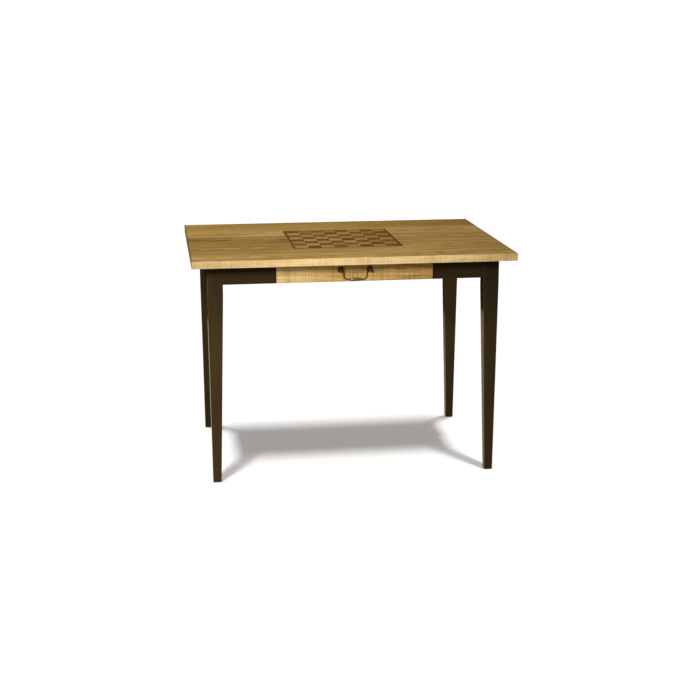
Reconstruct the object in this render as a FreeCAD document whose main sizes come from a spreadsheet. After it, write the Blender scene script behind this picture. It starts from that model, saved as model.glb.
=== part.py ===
import FreeCAD, Part

import os
import re

import Sketcher

# A chess table: a maple top with an inlaid board, on a painted frame of four tapered legs and aprons,
# with one dovetailed drawer in the front apron and a swinging bail pull.
# Frame: X to the right, Y to the back, Z up. The origin is on the floor, under the centre of the top.
# Every length is in millimetres.

Vector = FreeCAD.Vector

SIZES = {
    # the top
    "top_length": 1067,
    "top_depth": 762,
    "top_thickness": 25,
    "table_height": 762,
    "top_overhang": 50,
    "arris_round": 1.5,
    "plank_count": 5,
    # the inlaid board
    "square_side": 44.5,
    "squares_across": 8,
    "border_width": 9.5,
    "inlay_thickness": 5,
    "glue_line": 0.1,
    # the legs
    "leg_side": 51,
    "leg_block": 100,
    "foot_side": 27.5,
    "foot_inset": 4.5,
    "leg_ease": 1.2,
    # the aprons and their joints
    "apron_height": 63,
    "apron_thickness": 20,
    "apron_ease": 1,
    "tenon_thickness": 8,
    "tenon_length": 20,
    "tenon_shoulder": 7,
    "glue_room": 1,
    # the rail behind the front aprons
    "rail_height": 16,
    "rail_depth": 25,
    "rail_tenon_height": 8,
    "rail_tenon_thickness": 10,
    "rail_screw_margin": 45,
    # the drawer's runners and guides
    "drawer_opening": 520,
    "runner_ledge": 14,
    "guide_width": 12,
    "guide_height": 20,
    "stub_length": 8,
    "stub_height": 6,
    # the corner braces
    "brace_thickness": 22,
    "brace_gap": 4,
    "brace_leg_room": 2,
    "brace_screw_reach": 78,
    "brace_screw_edge": 11,
    "brace_seat": 10,
    # the buttons that hold the top
    "button_length": 35,
    "button_width": 28,
    "button_thickness": 16,
    "tongue_length": 8,
    "tongue_thickness": 7,
    "slot_play": 4,
    "button_screw_reach": 18,
    "side_button_reach": 120,
    "back_button_reach": 150,
    "front_button_gap": 8,
    # screws
    "screw_radius": 2,
    "screw_head_radius": 4,
    "screw_head_height": 2.4,
    "screw_bite": 13,
    "screw_clearance": 0.05,
    # the drawer
    "drawer_length": 450,
    "drawer_gap": 1.5,
    "slide_clearance": 0.3,
    "side_thickness": 12,
    "side_top_gap": 3,
    "back_thickness": 12,
    "panel_thickness": 6,
    "groove_depth": 5,
    "groove_rise": 6,
    "groove_slack": 0.3,
    "lap_thickness": 6,
    "tail_count": 2,
    "tail_width": 15,
    "tail_flare": 2.2,
    "back_tail_width": 9,
    "back_tail_flare": 1.8,
    "panel_screw_spread": 170,
    # the bail pull
    "handle_centres": 97,
    "handle_rise": 40,
    "rosette_radius": 10.5,
    "rosette_thickness": 2.5,
    "post_standoff": 13,
    "post_foot_radius": 5.5,
    "post_neck_radius": 3.5,
    "ball_radius": 6,
    "bolt_radius": 1.75,
    "bolt_head_radius": 4,
    "bolt_head_height": 2,
    "bolt_bite": 7,
    "wire_radius": 2.3,
    "pin_clearance": 0.06,
    "pin_reach": 4,
    "elbow_radius": 3.6,
    "corner_radius": 13,
    "bail_drop": 31,
    "grip_radius": 5.6,
    "grip_bead_radius": 4.8,
    "grip_waist_radius": 3.5,
    "grip_half_length": 22.5,
    "bead_length": 5,
}

# Sizes that follow from the ones above.
DERIVED = {
    "underside": "table_height - top_thickness",
    "frame_x": "top_length / 2 - top_overhang",
    "frame_y": "top_depth / 2 - top_overhang",
    "shoulder_x": "frame_x - leg_side",
    "shoulder_y": "frame_y - leg_side",
    "apron_bottom": "underside - apron_height",
    "plank_depth": "top_depth / plank_count",
    "field_side": "square_side * squares_across",
    "board_side": "field_side + 2 * border_width",
    "inside_y": "frame_y - apron_thickness",
    "inside_x": "frame_x - apron_thickness",
    "front_apron_length": "shoulder_x - drawer_opening / 2",
    "tenon_offset": "(apron_thickness - tenon_thickness) / 2",
    "mortise_depth": "tenon_length + glue_room",
    "rail_tenon_offset": "(rail_depth - rail_tenon_thickness) / 2",
    "rail_tenon_rise": "(rail_height - rail_tenon_height) / 2",
    "runner_width": "runner_ledge + guide_width",
    "runner_centre": "drawer_opening / 2 + guide_width - runner_width / 2",
    "runner_length": "2 * inside_y - rail_depth",
    "stub_rise": "(rail_height - stub_height) / 2",
    "brace_height": "apron_height - rail_height - 2 * brace_gap",
    "brace_near": "2 * (leg_side - apron_thickness) + brace_leg_room * sqrt(2)",
    "brace_far": "brace_near + brace_thickness * sqrt(2)",
    "front_button_x": "drawer_opening / 2 + guide_width + front_button_gap + button_width / 2",
    "slot_depth": "tongue_length + glue_room",
    "slot_width": "button_width + 2 * slot_play",
    "screw_hole": "screw_radius + screw_clearance",
    "screw_seat": "screw_head_radius + slide_clearance",
    "pilot_depth": "screw_bite + glue_room",
    "front_width": "drawer_opening - 2 * drawer_gap",
    "front_height": "apron_height - drawer_gap",
    "front_thickness": "apron_thickness - slide_clearance",
    "side_rise": "rail_height + slide_clearance",
    "side_height": "apron_height - side_rise - side_top_gap",
    "side_length": "drawer_length - front_thickness",
    "side_tail_length": "front_thickness - lap_thickness",
    "tail_pitch": "side_height / tail_count",
    "panel_top": "groove_rise + panel_thickness",
    "back_height": "side_height - panel_top",
    "back_tail_pitch": "back_height / tail_count",
    "panel_half_width": "front_width / 2 - side_thickness + groove_depth - groove_slack",
    "bolt_hole": "bolt_radius + screw_clearance",
    "wire_bore": "wire_radius + pin_clearance",
    "elbow_x": "handle_centres / 2 - ball_radius - slide_clearance",
    "arm_x": "elbow_x - elbow_radius",
    "pin_x": "handle_centres / 2 + pin_reach",
    "bore_reach": "pin_reach + slide_clearance",
}

# Which way each origin plane's normal points along its own axis.
NORMALS = {"XY_Plane": 1, "YZ_Plane": 1, "XZ_Plane": -1}

# Quarter turns of the four corners, and the sides of the table that each corner lies on.
CORNERS = {
    "front_left": (0, -1, -1),
    "front_right": (90, 1, -1),
    "back_right": (180, 1, 1),
    "back_left": (270, -1, 1),
}

SIDES = {"left": -1, "right": 1}

# The drawer's bottom is screwed to its back at these three places across it.
PANEL_SCREWS = ("-panel_screw_spread", "0", "panel_screw_spread")

# The radius, head radius and head height of the drawer's thinner screws.
BOLT = ("bolt_radius", "bolt_head_radius", "bolt_head_height")

document = FreeCAD.newDocument("chess_table")
sheet = document.addObject("Spreadsheet::Sheet", "sizes")
nodes = []


def fill_sheet():
    """Write every driving size into the sheet, one row each: its name, and its value under that alias."""
    for row, (name, value) in enumerate(SIZES.items(), start=1):
        sheet.set(f"A{row}", name)
        sheet.set(f"B{row}", str(value))
        sheet.setAlias(f"B{row}", name)
    document.recompute()


def formula(text):
    """Spell a size formula out as an expression on the sheet's cells."""

    def spell(match):
        word = match.group(0)
        if word in DERIVED:
            return "(" + formula(DERIVED[word]) + ")"
        if word in SIZES:
            return "sizes." + word
        return word

    return re.sub(r"[a-z][a-z_]+", spell, text)


def size(text):
    """The present value of a size formula."""
    return float(sheet.evalExpression(formula(text)))


def place(piece, x="0", y="0", z="0", turn=0, points=None):
    """Set a piece's place by formulas, turned about Z, or with its own Z axis along a direction."""
    rotation = FreeCAD.Rotation(Vector(0, 0, 1), turn)
    if points is not None:
        rotation = FreeCAD.Rotation(Vector(0, 0, 1), points)
    piece.Placement = FreeCAD.Placement(Vector(), rotation)
    for axis, text in (("x", x), ("y", y), ("z", z)):
        piece.setExpression("Placement.Base." + axis, formula(text))


def keep(piece, label):
    """Name a finished piece and list it among the nodes."""
    piece.Label = label
    nodes.append(piece)
    return piece


# ---------------------------------------------------------------- sketches


def new_body(name):
    """An empty body."""
    return document.addObject("PartDesign::Body", name)


def new_sketch(body, name, role, start="0"):
    """A sketch on one of the body's origin planes, moved to `start` along that plane's axis."""
    plane = next(feature for feature in body.Origin.OriginFeatures if feature.Role == role)
    sketch = body.newObject("Sketcher::SketchObject", name)
    sketch.AttachmentSupport = [(plane, "")]
    sketch.MapMode = "FlatFace"
    sketch.setExpression("AttachmentOffset.Base.z", f"{NORMALS[role]} * ({formula(start)})")
    return sketch


def drive(sketch, kind, *where, text):
    """Add one dimension that follows a size formula."""
    index = sketch.addConstraint(Sketcher.Constraint(kind, *where, size(text)))
    sketch.setExpression(f"Constraints[{index}]", formula(text))


def fix_point(sketch, edge, end, across, up):
    """Dimension a point of an edge from the sketch's origin."""
    drive(sketch, "DistanceX", -1, 1, edge, end, text=across)
    drive(sketch, "DistanceY", -1, 1, edge, end, text=up)


def outline(*corners):
    """A closed outline of straight sides through the given corners."""

    def draw(sketch):
        first = sketch.GeometryCount
        spots = [Vector(size(across), size(up), 0) for across, up in corners]
        for spot, following in zip(spots, spots[1:] + spots[:1]):
            sketch.addGeometry(Part.LineSegment(spot, following), False)
        for index, corner in enumerate(corners):
            before = first + (index - 1) % len(corners)
            sketch.addConstraint(Sketcher.Constraint("Coincident", before, 2, first + index, 1))
            fix_point(sketch, first + index, 1, *corner)

    return draw


def rectangle(left, bottom, width, height):
    """A rectangle from its lower left corner."""

    def draw(sketch):
        first = sketch.GeometryCount
        low = Vector(size(left), size(bottom), 0)
        high = low + Vector(size(width), size(height), 0)
        spots = [low, Vector(high.x, low.y, 0), high, Vector(low.x, high.y, 0)]
        for spot, following in zip(spots, spots[1:] + spots[:1]):
            sketch.addGeometry(Part.LineSegment(spot, following), False)
        for index in range(len(spots)):
            following = first + (index + 1) % len(spots)
            sketch.addConstraint(Sketcher.Constraint("Coincident", first + index, 2, following, 1))
            direction = "Vertical" if index % 2 else "Horizontal"
            sketch.addConstraint(Sketcher.Constraint(direction, first + index))
        fix_point(sketch, first, 1, left, bottom)
        drive(sketch, "DistanceX", first, 1, first, 2, text=width)
        drive(sketch, "DistanceY", first + 1, 1, first + 1, 2, text=height)

    return draw


def circle(across, up, radius):
    """A circle about a point."""

    def draw(sketch):
        centre = Vector(size(across), size(up), 0)
        edge = sketch.addGeometry(Part.Circle(centre, Vector(0, 0, 1), size(radius)), False)
        fix_point(sketch, edge, 3, across, up)
        drive(sketch, "Radius", edge, text=radius)

    return draw


def eased_square(low, side, ease):
    """A square standing at (low, low) whose corners are eased."""
    high = f"{low} + {side}"
    return outline(
        (f"{low} + {ease}", low),
        (f"{high} - {ease}", low),
        (high, f"{low} + {ease}"),
        (high, f"{high} - {ease}"),
        (f"{high} - {ease}", high),
        (f"{low} + {ease}", high),
        (low, f"{high} - {ease}"),
        (low, f"{low} + {ease}"),
    )


# ---------------------------------------------------------------- features


def prism(body, kind, name, role, start, length, *outlines):
    """A Pad or Pocket from `start` over `length`, always towards the plus side of the plane's axis."""
    sketch = new_sketch(body, name + "_sketch", role, start)
    for draw in outlines:
        draw(sketch)
    feature = body.newObject("PartDesign::" + kind, name)
    feature.Profile = sketch
    feature.setExpression("Length", formula(length))
    feature.Reversed = (kind == "Pad") == (NORMALS[role] < 0)
    return feature


def turned(body, name, role, *outlines):
    """A full turn of outlines about the sketch's upright axis."""
    sketch = new_sketch(body, name + "_sketch", role)
    for draw in outlines:
        draw(sketch)
    feature = body.newObject("PartDesign::Revolution", name)
    feature.Profile = sketch
    feature.ReferenceAxis = (sketch, ["V_Axis"])
    feature.Angle = 360
    return feature


def ease_edges(body, kind, name, amount, chosen):
    """Round or chamfer the edges of the body's last feature that `chosen` accepts."""
    document.recompute()
    base = body.Tip
    edges = base.Shape.Edges
    names = [f"Edge{number}" for number, edge in enumerate(edges, start=1) if chosen(edge)]
    feature = body.newObject("PartDesign::" + kind, name)
    feature.Base = (base, names)
    feature.setExpression("Radius" if kind == "Fillet" else "Size", formula(amount))
    return feature


def box(name, x, y, z, length, width, height):
    """A plain rectangular block between three planes and its three lengths."""
    block = document.addObject("Part::Box", name)
    for side, text in (("Length", length), ("Width", width), ("Height", height)):
        block.setExpression(side, formula(text))
    place(block, x, y, z)
    return block


def gather(label, pieces):
    """One node of several separate solids."""
    group = document.addObject("Part::Compound", label)
    group.Links = pieces
    return keep(group, label)


def copies(label, pattern, places):
    """One node that repeats a pattern piece at several places."""
    links = []
    for number, where in enumerate(places):
        link = document.addObject("App::Link", f"{label}_{number}")
        link.LinkedObject = pattern
        place(link, **where)
        links.append(link)
    return gather(label, links)


def screw(name, shank, radius="screw_radius", head="screw_head_radius", head_height="screw_head_height"):
    """A pan-head screw: its head's seat is at the origin and its point is up."""
    body = new_body(name)
    rim = f"{head_height} / 2"
    turned(
        body,
        name + "_turned",
        "XZ_Plane",
        outline(
            ("0", f"-({head_height})"),
            (f"{head} - {rim}", f"-({head_height})"),
            (head, f"-{rim}"),
            (head, "0"),
            (radius, "0"),
            (radius, f"{shank} - 2 * {radius}"),
            ("0", shank),
        ),
    )
    return body


# ---------------------------------------------------------------- the top


def button_places():
    """Where the buttons stand on the aprons: the point on the apron's inner face, and the turn."""
    places = []
    for side in (-1, 1):
        places.append({"x": f"{side} * front_button_x", "y": "-inside_y", "turn": 0})
        places.append({"x": f"{side} * back_button_reach", "y": "inside_y", "turn": 180})
        places.append({"x": "-inside_x", "y": f"{side} * side_button_reach", "turn": 270})
        places.append({"x": "inside_x", "y": f"{side} * side_button_reach", "turn": 90})
    return places


def button_screw_places():
    """Where the screws go up through the buttons, a set reach in from the aprons."""
    reach = {0: (0, 1), 90: (-1, 0), 180: (0, -1), 270: (1, 0)}
    places = []
    for where in button_places():
        inward_x, inward_y = reach[where["turn"]]
        across = f"{where['x']} + {inward_x} * button_screw_reach"
        along = f"{where['y']} + {inward_y} * button_screw_reach"
        places.append({"x": across, "y": along, "z": "underside - button_thickness"})
    return places


def make_top():
    """The planks, cut out of one machined blank with rounded arrises, a recess and pilot holes."""
    blank = new_body("tabletop_blank")
    prism(
        blank,
        "Pad",
        "tabletop",
        "XY_Plane",
        "0",
        "top_thickness",
        rectangle("-top_length / 2", "-top_depth / 2", "top_length", "top_depth"),
    )
    ease_edges(blank, "Fillet", "tabletop_arrises", "arris_round", lambda edge: True)
    prism(
        blank,
        "Pocket",
        "board_recess",
        "XY_Plane",
        "top_thickness - inlay_thickness",
        "inlay_thickness",
        rectangle("-board_side / 2", "-board_side / 2", "board_side", "board_side"),
    )
    pilots = [circle(where["x"], where["y"], "screw_hole") for where in button_screw_places()]
    prism(blank, "Pocket", "button_pilots", "XY_Plane", "0", "pilot_depth", *pilots)
    place(blank, z="underside")

    for number in range(int(size("plank_count"))):
        slab = box(
            f"plank_{number + 1}_slab",
            "-top_length / 2",
            f"-top_depth / 2 + {number} * plank_depth",
            "underside",
            "top_length",
            "plank_depth",
            "top_thickness",
        )
        plank = document.addObject("Part::Common", f"plank_{number + 1}")
        plank.Base = blank
        plank.Tool = slab
        keep(plank, f"top_plank_{number + 1}")


def make_inlay():
    """The squares, dark and light by turns, and the mitred border round them."""
    across = int(size("squares_across"))
    squares = {"dark": [], "light": []}
    for row in range(across):
        for column in range(across):
            tone = "dark" if (row + column) % 2 else "light"
            square = box(
                f"square_{row}_{column}",
                f"-field_side / 2 + {column} * square_side + glue_line / 2",
                f"-field_side / 2 + {row} * square_side + glue_line / 2",
                "table_height - inlay_thickness",
                "square_side - glue_line",
                "square_side - glue_line",
                "inlay_thickness",
            )
            squares[tone].append(square)
    for tone, pieces in squares.items():
        gather(f"inlay_{tone}_squares", pieces)

    for turn, side in ((0, "front"), (90, "right"), (180, "back"), (270, "left")):
        strip = new_body("border_" + side)
        prism(
            strip,
            "Pad",
            "strip_" + side,
            "XY_Plane",
            "0",
            "inlay_thickness",
            outline(
                ("-board_side / 2", "-board_side / 2"),
                ("board_side / 2", "-board_side / 2"),
                ("field_side / 2", "-field_side / 2"),
                ("-field_side / 2", "-field_side / 2"),
            ),
        )
        place(strip, z="table_height - inlay_thickness", turn=turn)
        keep(strip, "inlay_border_" + side)


# ---------------------------------------------------------------- the frame


def make_leg(corner):
    """A leg: square down to below the aprons, then tapered more on its inner faces, and mortised."""
    turn, side_x, side_y = CORNERS[corner]
    body = new_body("leg_" + corner)
    foot = new_sketch(body, "foot_section", "XY_Plane")
    eased_square("foot_inset", "foot_side", "leg_ease")(foot)
    knee = new_sketch(body, "knee_section", "XY_Plane", "underside - leg_block")
    eased_square("0", "leg_side", "leg_ease")(knee)
    taper = body.newObject("PartDesign::AdditiveLoft", "taper")
    taper.Profile = foot
    taper.Sections = [knee]
    taper.Ruled = True
    block = eased_square("0", "leg_side", "leg_ease")
    prism(body, "Pad", "block", "XY_Plane", "underside - leg_block", "leg_block", block)

    mortise = rectangle(
        "tenon_offset",
        "apron_bottom + tenon_shoulder",
        "tenon_thickness",
        "apron_height - 2 * tenon_shoulder",
    )
    bottom = "leg_side - mortise_depth"
    prism(body, "Pocket", "mortise_along_x", "YZ_Plane", bottom, "mortise_depth", mortise)
    prism(body, "Pocket", "mortise_along_y", "XZ_Plane", bottom, "mortise_depth", mortise)
    if side_y < 0:
        rail_mortise = rectangle(
            "apron_thickness + rail_tenon_offset",
            "apron_bottom + rail_tenon_rise",
            "rail_tenon_thickness",
            "rail_tenon_height",
        )
        plane = "YZ_Plane" if side_x < 0 else "XZ_Plane"
        prism(body, "Pocket", "rail_mortise", plane, bottom, "mortise_depth", rail_mortise)
    place(body, f"{side_x} * frame_x", f"{side_y} * frame_y", "0", turn)
    keep(body, "leg_" + corner)


def make_apron(label, length, tenoned, screws, slots, where):
    """An apron: a board centred on X, outer face at Y 0, with tenons, brace pilots and button slots."""
    body = new_body(label + "_body")
    ends = {-1: f"-({length}) / 2 - tenon_length", 1: f"({length}) / 2"}
    board = rectangle(f"-({length}) / 2", "0", length, "apron_height")
    prism(body, "Pad", "board", "XZ_Plane", "0", "apron_thickness", board)
    ease_edges(body, "Chamfer", "lower_arris", "apron_ease", lower_front_edge)
    tenon_height = "apron_height - 2 * tenon_shoulder"
    tenons = [rectangle(ends[end], "tenon_shoulder", "tenon_length", tenon_height) for end in tenoned]
    prism(body, "Pad", "tenons", "XZ_Plane", "tenon_offset", "tenon_thickness", *tenons)
    brace_bottom = "rail_height + brace_gap"
    heights = (f"{brace_bottom} + brace_screw_edge", f"{brace_bottom} + brace_height - brace_screw_edge")
    pilots = [circle(screw_x, height, "screw_hole") for screw_x in screws for height in heights]
    pilot_start = "apron_thickness - pilot_depth"
    prism(body, "Pocket", "brace_pilots", "XZ_Plane", pilot_start, "pilot_depth", *pilots)
    slot_bottom = "apron_height - button_thickness"
    cuts = [
        rectangle(f"{slot_x} - slot_width / 2", slot_bottom, "slot_width", "tongue_thickness")
        for slot_x in slots
    ]
    slot_start = "apron_thickness - slot_depth"
    prism(body, "Pocket", "button_slots", "XZ_Plane", slot_start, "slot_depth", *cuts)
    place(body, **where)
    return keep(body, label)


def lower_front_edge(edge):
    """Whether an edge of an apron is the long lower one of its outer face."""
    low, high = (vertex.Point for vertex in edge.Vertexes)
    return low.y == high.y == 0 and low.z == high.z == 0


def make_aprons():
    """The back and side aprons, and the two short front ones either side of the drawer."""
    screw_x = "frame_x - apron_thickness - brace_screw_reach"
    screw_y = "frame_y - apron_thickness - brace_screw_reach"
    both = (-1, 1)
    back = make_apron(
        "apron_back",
        "2 * shoulder_x",
        both,
        [f"{side} * ({screw_x})" for side in both],
        [f"{side} * back_button_reach" for side in both],
        {"y": "frame_y", "z": "apron_bottom", "turn": 180},
    )
    cut_stub_mortises(back, "apron_thickness")
    for name, side in SIDES.items():
        make_apron(
            "apron_" + name,
            "2 * shoulder_y",
            both,
            [f"{end} * ({screw_y})" for end in both],
            [f"{end} * side_button_reach" for end in both],
            {"x": f"{side} * frame_x", "z": "apron_bottom", "turn": 90 * side},
        )
        middle = "drawer_opening / 2 + front_apron_length / 2"
        front = make_apron(
            "apron_front_" + name,
            "front_apron_length",
            (side,),
            [f"{side} * ({screw_x} - ({middle}))"],
            [f"{side} * (front_button_x - ({middle}))"],
            {"x": f"{side} * ({middle})", "y": "-frame_y", "z": "apron_bottom"},
        )
        pilots = [
            circle(f"{across} - {side} * ({middle})", "rail_height / 2", "screw_hole")
            for across in rail_screw_positions(side)
        ]
        pilot_start = "apron_thickness - pilot_depth"
        prism(front, "Pocket", "rail_pilots", "XZ_Plane", pilot_start, "pilot_depth", *pilots)


def rail_screw_positions(side):
    """Where the rail is screwed to the front apron of one side, across the table."""
    return (
        f"{side} * (drawer_opening / 2 + rail_screw_margin)",
        f"{side} * (shoulder_x - rail_screw_margin)",
    )


def cut_stub_mortises(body, thickness):
    """Mortise the inner face of a board for the runners' stub tenons."""
    stubs = [
        rectangle(f"{side} * runner_centre - runner_width / 2", "stub_rise", "runner_width", "stub_height")
        for side in SIDES.values()
    ]
    prism(body, "Pocket", "stub_mortises", "XZ_Plane", f"{thickness} - stub_length", "stub_length", *stubs)


def make_front_rail():
    """The rail that ties the front legs behind the aprons, under the drawer box."""
    body = new_body("rail")
    board = rectangle("-shoulder_x", "0", "2 * shoulder_x", "rail_height")
    prism(body, "Pad", "board", "XZ_Plane", "0", "rail_depth", board)
    tenons = [
        rectangle(left, "rail_tenon_rise", "tenon_length", "rail_tenon_height")
        for left in ("-shoulder_x - tenon_length", "shoulder_x")
    ]
    prism(body, "Pad", "tenons", "XZ_Plane", "rail_tenon_offset", "rail_tenon_thickness", *tenons)
    screw_x = [across for side in SIDES.values() for across in rail_screw_positions(side)]
    holes = [circle(across, "rail_height / 2", "screw_hole") for across in screw_x]
    prism(body, "Pocket", "screw_holes", "XZ_Plane", "0", "rail_depth", *holes)
    cut_stub_mortises(body, "rail_depth")
    place(body, "0", "-inside_y", "apron_bottom")
    keep(body, "front_rail")

    pattern = screw("rail_screw", "rail_depth + screw_bite")
    places = [
        {"x": across, "y": "-inside_y + rail_depth", "z": "apron_bottom + rail_height / 2",
         "points": Vector(0, -1, 0)}
        for across in screw_x
    ]
    copies("front_rail_screws", pattern, places)


def make_runners():
    """On each side a ledge under the drawer's side, and a guide strip on it beside the drawer."""
    for name, side in SIDES.items():
        runner = new_body("runner_" + name)
        ledge = rectangle("-runner_width / 2", "0", "runner_width", "runner_length")
        prism(runner, "Pad", "ledge", "XY_Plane", "0", "rail_height", ledge)
        stubs = [
            rectangle("-runner_width / 2", start, "runner_width", "stub_length")
            for start in ("-stub_length", "runner_length")
        ]
        prism(runner, "Pad", "stubs", "XY_Plane", "stub_rise", "stub_height", *stubs)
        place(runner, f"{side} * runner_centre", "-inside_y + rail_depth", "apron_bottom")
        keep(runner, "drawer_runner_" + name)

        left = "drawer_opening / 2" if side > 0 else "-drawer_opening / 2 - guide_width"
        guide = box(
            "guide_" + name,
            left,
            "-inside_y",
            "apron_bottom + rail_height",
            "guide_width",
            "2 * inside_y",
            "guide_height",
        )
        keep(guide, "drawer_guide_" + name)


def make_braces():
    """A brace across each corner, screwed to both aprons and clear of the leg."""
    heights = ("brace_screw_edge", "brace_height - brace_screw_edge")
    z_of_brace = "apron_bottom + rail_height + brace_gap"
    screw_places = []
    for corner, (turn, side_x, side_y) in CORNERS.items():
        body = new_body("brace_" + corner)
        bar = outline(("brace_near", "0"), ("brace_far", "0"), ("0", "brace_far"), ("0", "brace_near"))
        prism(body, "Pad", "bar", "XY_Plane", "0", "brace_height", bar)
        for plane in ("XZ_Plane", "YZ_Plane"):
            holes = [circle("brace_screw_reach", height, "screw_hole") for height in heights]
            prism(body, "Pocket", "holes", plane, "0", "brace_seat", *holes)
            seats = [circle("brace_screw_reach", height, "screw_seat") for height in heights]
            prism(body, "Pocket", "seats", plane, "brace_seat", "brace_far", *seats)
        x = f"{side_x} * inside_x"
        y = f"{side_y} * inside_y"
        place(body, x, y, z_of_brace, turn)
        keep(body, "corner_brace_" + corner)
        for height in heights:
            z = f"{z_of_brace} + {height}"
            reach = "brace_screw_reach"
            screw_places.append({"x": f"{x} - {side_x} * {reach}", "y": f"{y} - {side_y} * brace_seat",
                                 "z": z, "points": Vector(0, side_y, 0)})
            screw_places.append({"x": f"{x} - {side_x} * brace_seat", "y": f"{y} - {side_y} * {reach}",
                                 "z": z, "points": Vector(side_x, 0, 0)})
    copies("corner_brace_screws", screw("brace_screw", "brace_seat + screw_bite"), screw_places)


def make_buttons():
    """The buttons: blocks whose tongues sit in the apron slots and whose screws hold the top down."""
    body = new_body("button")
    profile = outline(
        ("0", "0"),
        ("button_length", "0"),
        ("button_length", "-button_thickness"),
        ("-tongue_length", "-button_thickness"),
        ("-tongue_length", "tongue_thickness - button_thickness"),
        ("0", "tongue_thickness - button_thickness"),
    )
    prism(body, "Pad", "block", "YZ_Plane", "-button_width / 2", "button_width", profile)
    hole = circle("0", "button_screw_reach", "screw_hole")
    prism(body, "Pocket", "screw_hole", "XY_Plane", "-button_thickness", "button_thickness", hole)
    copies("top_buttons", body, [{**where, "z": "underside"} for where in button_places()])
    pattern = screw("button_screw", "button_thickness + screw_bite")
    copies("top_button_screws", pattern, button_screw_places())


# ---------------------------------------------------------------- the drawer


def tails(count, base, tip, rise, pitch, width, flare):
    """Dovetail outlines, one above another, from a base line to the wide tips."""
    shapes = []
    for number in range(count):
        centre = f"{rise} + {number + 0.5} * {pitch}"
        root = f"{width} / 2 - {flare}"
        shapes.append(
            outline(
                (base, f"{centre} - ({root})"),
                (tip, f"{centre} - {width} / 2"),
                (tip, f"{centre} + {width} / 2"),
                (base, f"{centre} + {root}"),
            )
        )
    return shapes


def front_tails(base, tip, rise):
    """The half-blind dovetails between the drawer's front and a side."""
    return tails(int(size("tail_count")), base, tip, rise, "tail_pitch", "tail_width", "tail_flare")


def rear_tails(base, tip, rise):
    """The through dovetails between the drawer's back and a side."""
    count = int(size("tail_count"))
    return tails(count, base, tip, rise, "back_tail_pitch", "back_tail_width", "back_tail_flare")


def make_drawer_front():
    """The front: lapped over the sides' tails, grooved for the bottom and drilled for the handle."""
    body = new_body("front")
    face = rectangle("-front_width / 2", "0", "front_width", "front_height")
    prism(body, "Pad", "board", "XZ_Plane", "0", "front_thickness", face)
    ease_edges(body, "Fillet", "face_arrises", "apron_ease", on_front_face)
    for name, start in (("left", "-front_width / 2"), ("right", "front_width / 2 - side_thickness")):
        sockets = front_tails("front_thickness", "lap_thickness", "side_rise")
        prism(body, "Pocket", "sockets_" + name, "YZ_Plane", start, "side_thickness", *sockets)
    half = "(front_width / 2 - side_thickness + groove_depth)"
    groove = rectangle(f"-{half}", "side_rise + groove_rise", f"2 * {half}", "panel_thickness")
    prism(body, "Pocket", "groove", "XZ_Plane", "front_thickness - groove_depth", "groove_depth", groove)
    holes = [circle(f"{side} * handle_centres / 2", "handle_rise", "bolt_hole") for side in SIDES.values()]
    prism(body, "Pocket", "bolt_holes", "XZ_Plane", "0", "front_thickness", *holes)
    place(body, "0", "-frame_y", "apron_bottom")
    keep(body, "drawer_front")


def on_front_face(edge):
    """Whether both ends of an edge lie on the plane Y 0."""
    return all(vertex.Y == 0 for vertex in edge.Vertexes)


def make_drawer_sides():
    """The sides: tailed at both ends and grooved on the inner face for the bottom."""
    for name, side in SIDES.items():
        body = new_body("side_" + name)
        outer = "-side_thickness / 2"
        board = rectangle("0", "0", "side_length", "side_height")
        prism(body, "Pad", "board", "YZ_Plane", outer, "side_thickness", board)
        prism(body, "Pad", "front_tails", "YZ_Plane", outer, "side_thickness",
              *front_tails("0", "-side_tail_length", "0"))
        base = "side_length - back_thickness"
        notch = rectangle(base, "panel_top", "back_thickness", "back_height")
        prism(body, "Pocket", "back_notch", "YZ_Plane", outer, "side_thickness", notch)
        prism(body, "Pad", "rear_tails", "YZ_Plane", outer, "side_thickness",
              *rear_tails(base, "side_length", "panel_top"))
        groove_start = outer if side > 0 else "side_thickness / 2 - groove_depth"
        groove = rectangle("-groove_depth", "groove_rise", "side_length + groove_depth", "panel_thickness")
        prism(body, "Pocket", "groove", "YZ_Plane", groove_start, "groove_depth", groove)
        place(
            body,
            f"{side} * (front_width - side_thickness) / 2",
            "-frame_y + front_thickness",
            "apron_bottom + side_rise",
        )
        keep(body, "drawer_side_" + name)


def make_drawer_back():
    """The back: it stands on the bottom panel between the sides' rear tails."""
    body = new_body("back")
    board = rectangle("-front_width / 2", "0", "front_width", "back_height")
    prism(body, "Pad", "board", "XZ_Plane", "0", "back_thickness", board)
    for name, start in (("left", "-front_width / 2"), ("right", "front_width / 2 - side_thickness")):
        sockets = rear_tails("0", "back_thickness", "0")
        prism(body, "Pocket", "sockets_" + name, "YZ_Plane", start, "side_thickness", *sockets)
    pilots = [circle(across, "back_thickness / 2", "bolt_hole") for across in PANEL_SCREWS]
    prism(body, "Pocket", "panel_pilots", "XY_Plane", "0", "pilot_depth", *pilots)
    place(body, "0", "-frame_y + drawer_length - back_thickness", "apron_bottom + side_rise + panel_top")
    keep(body, "drawer_back")


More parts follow.
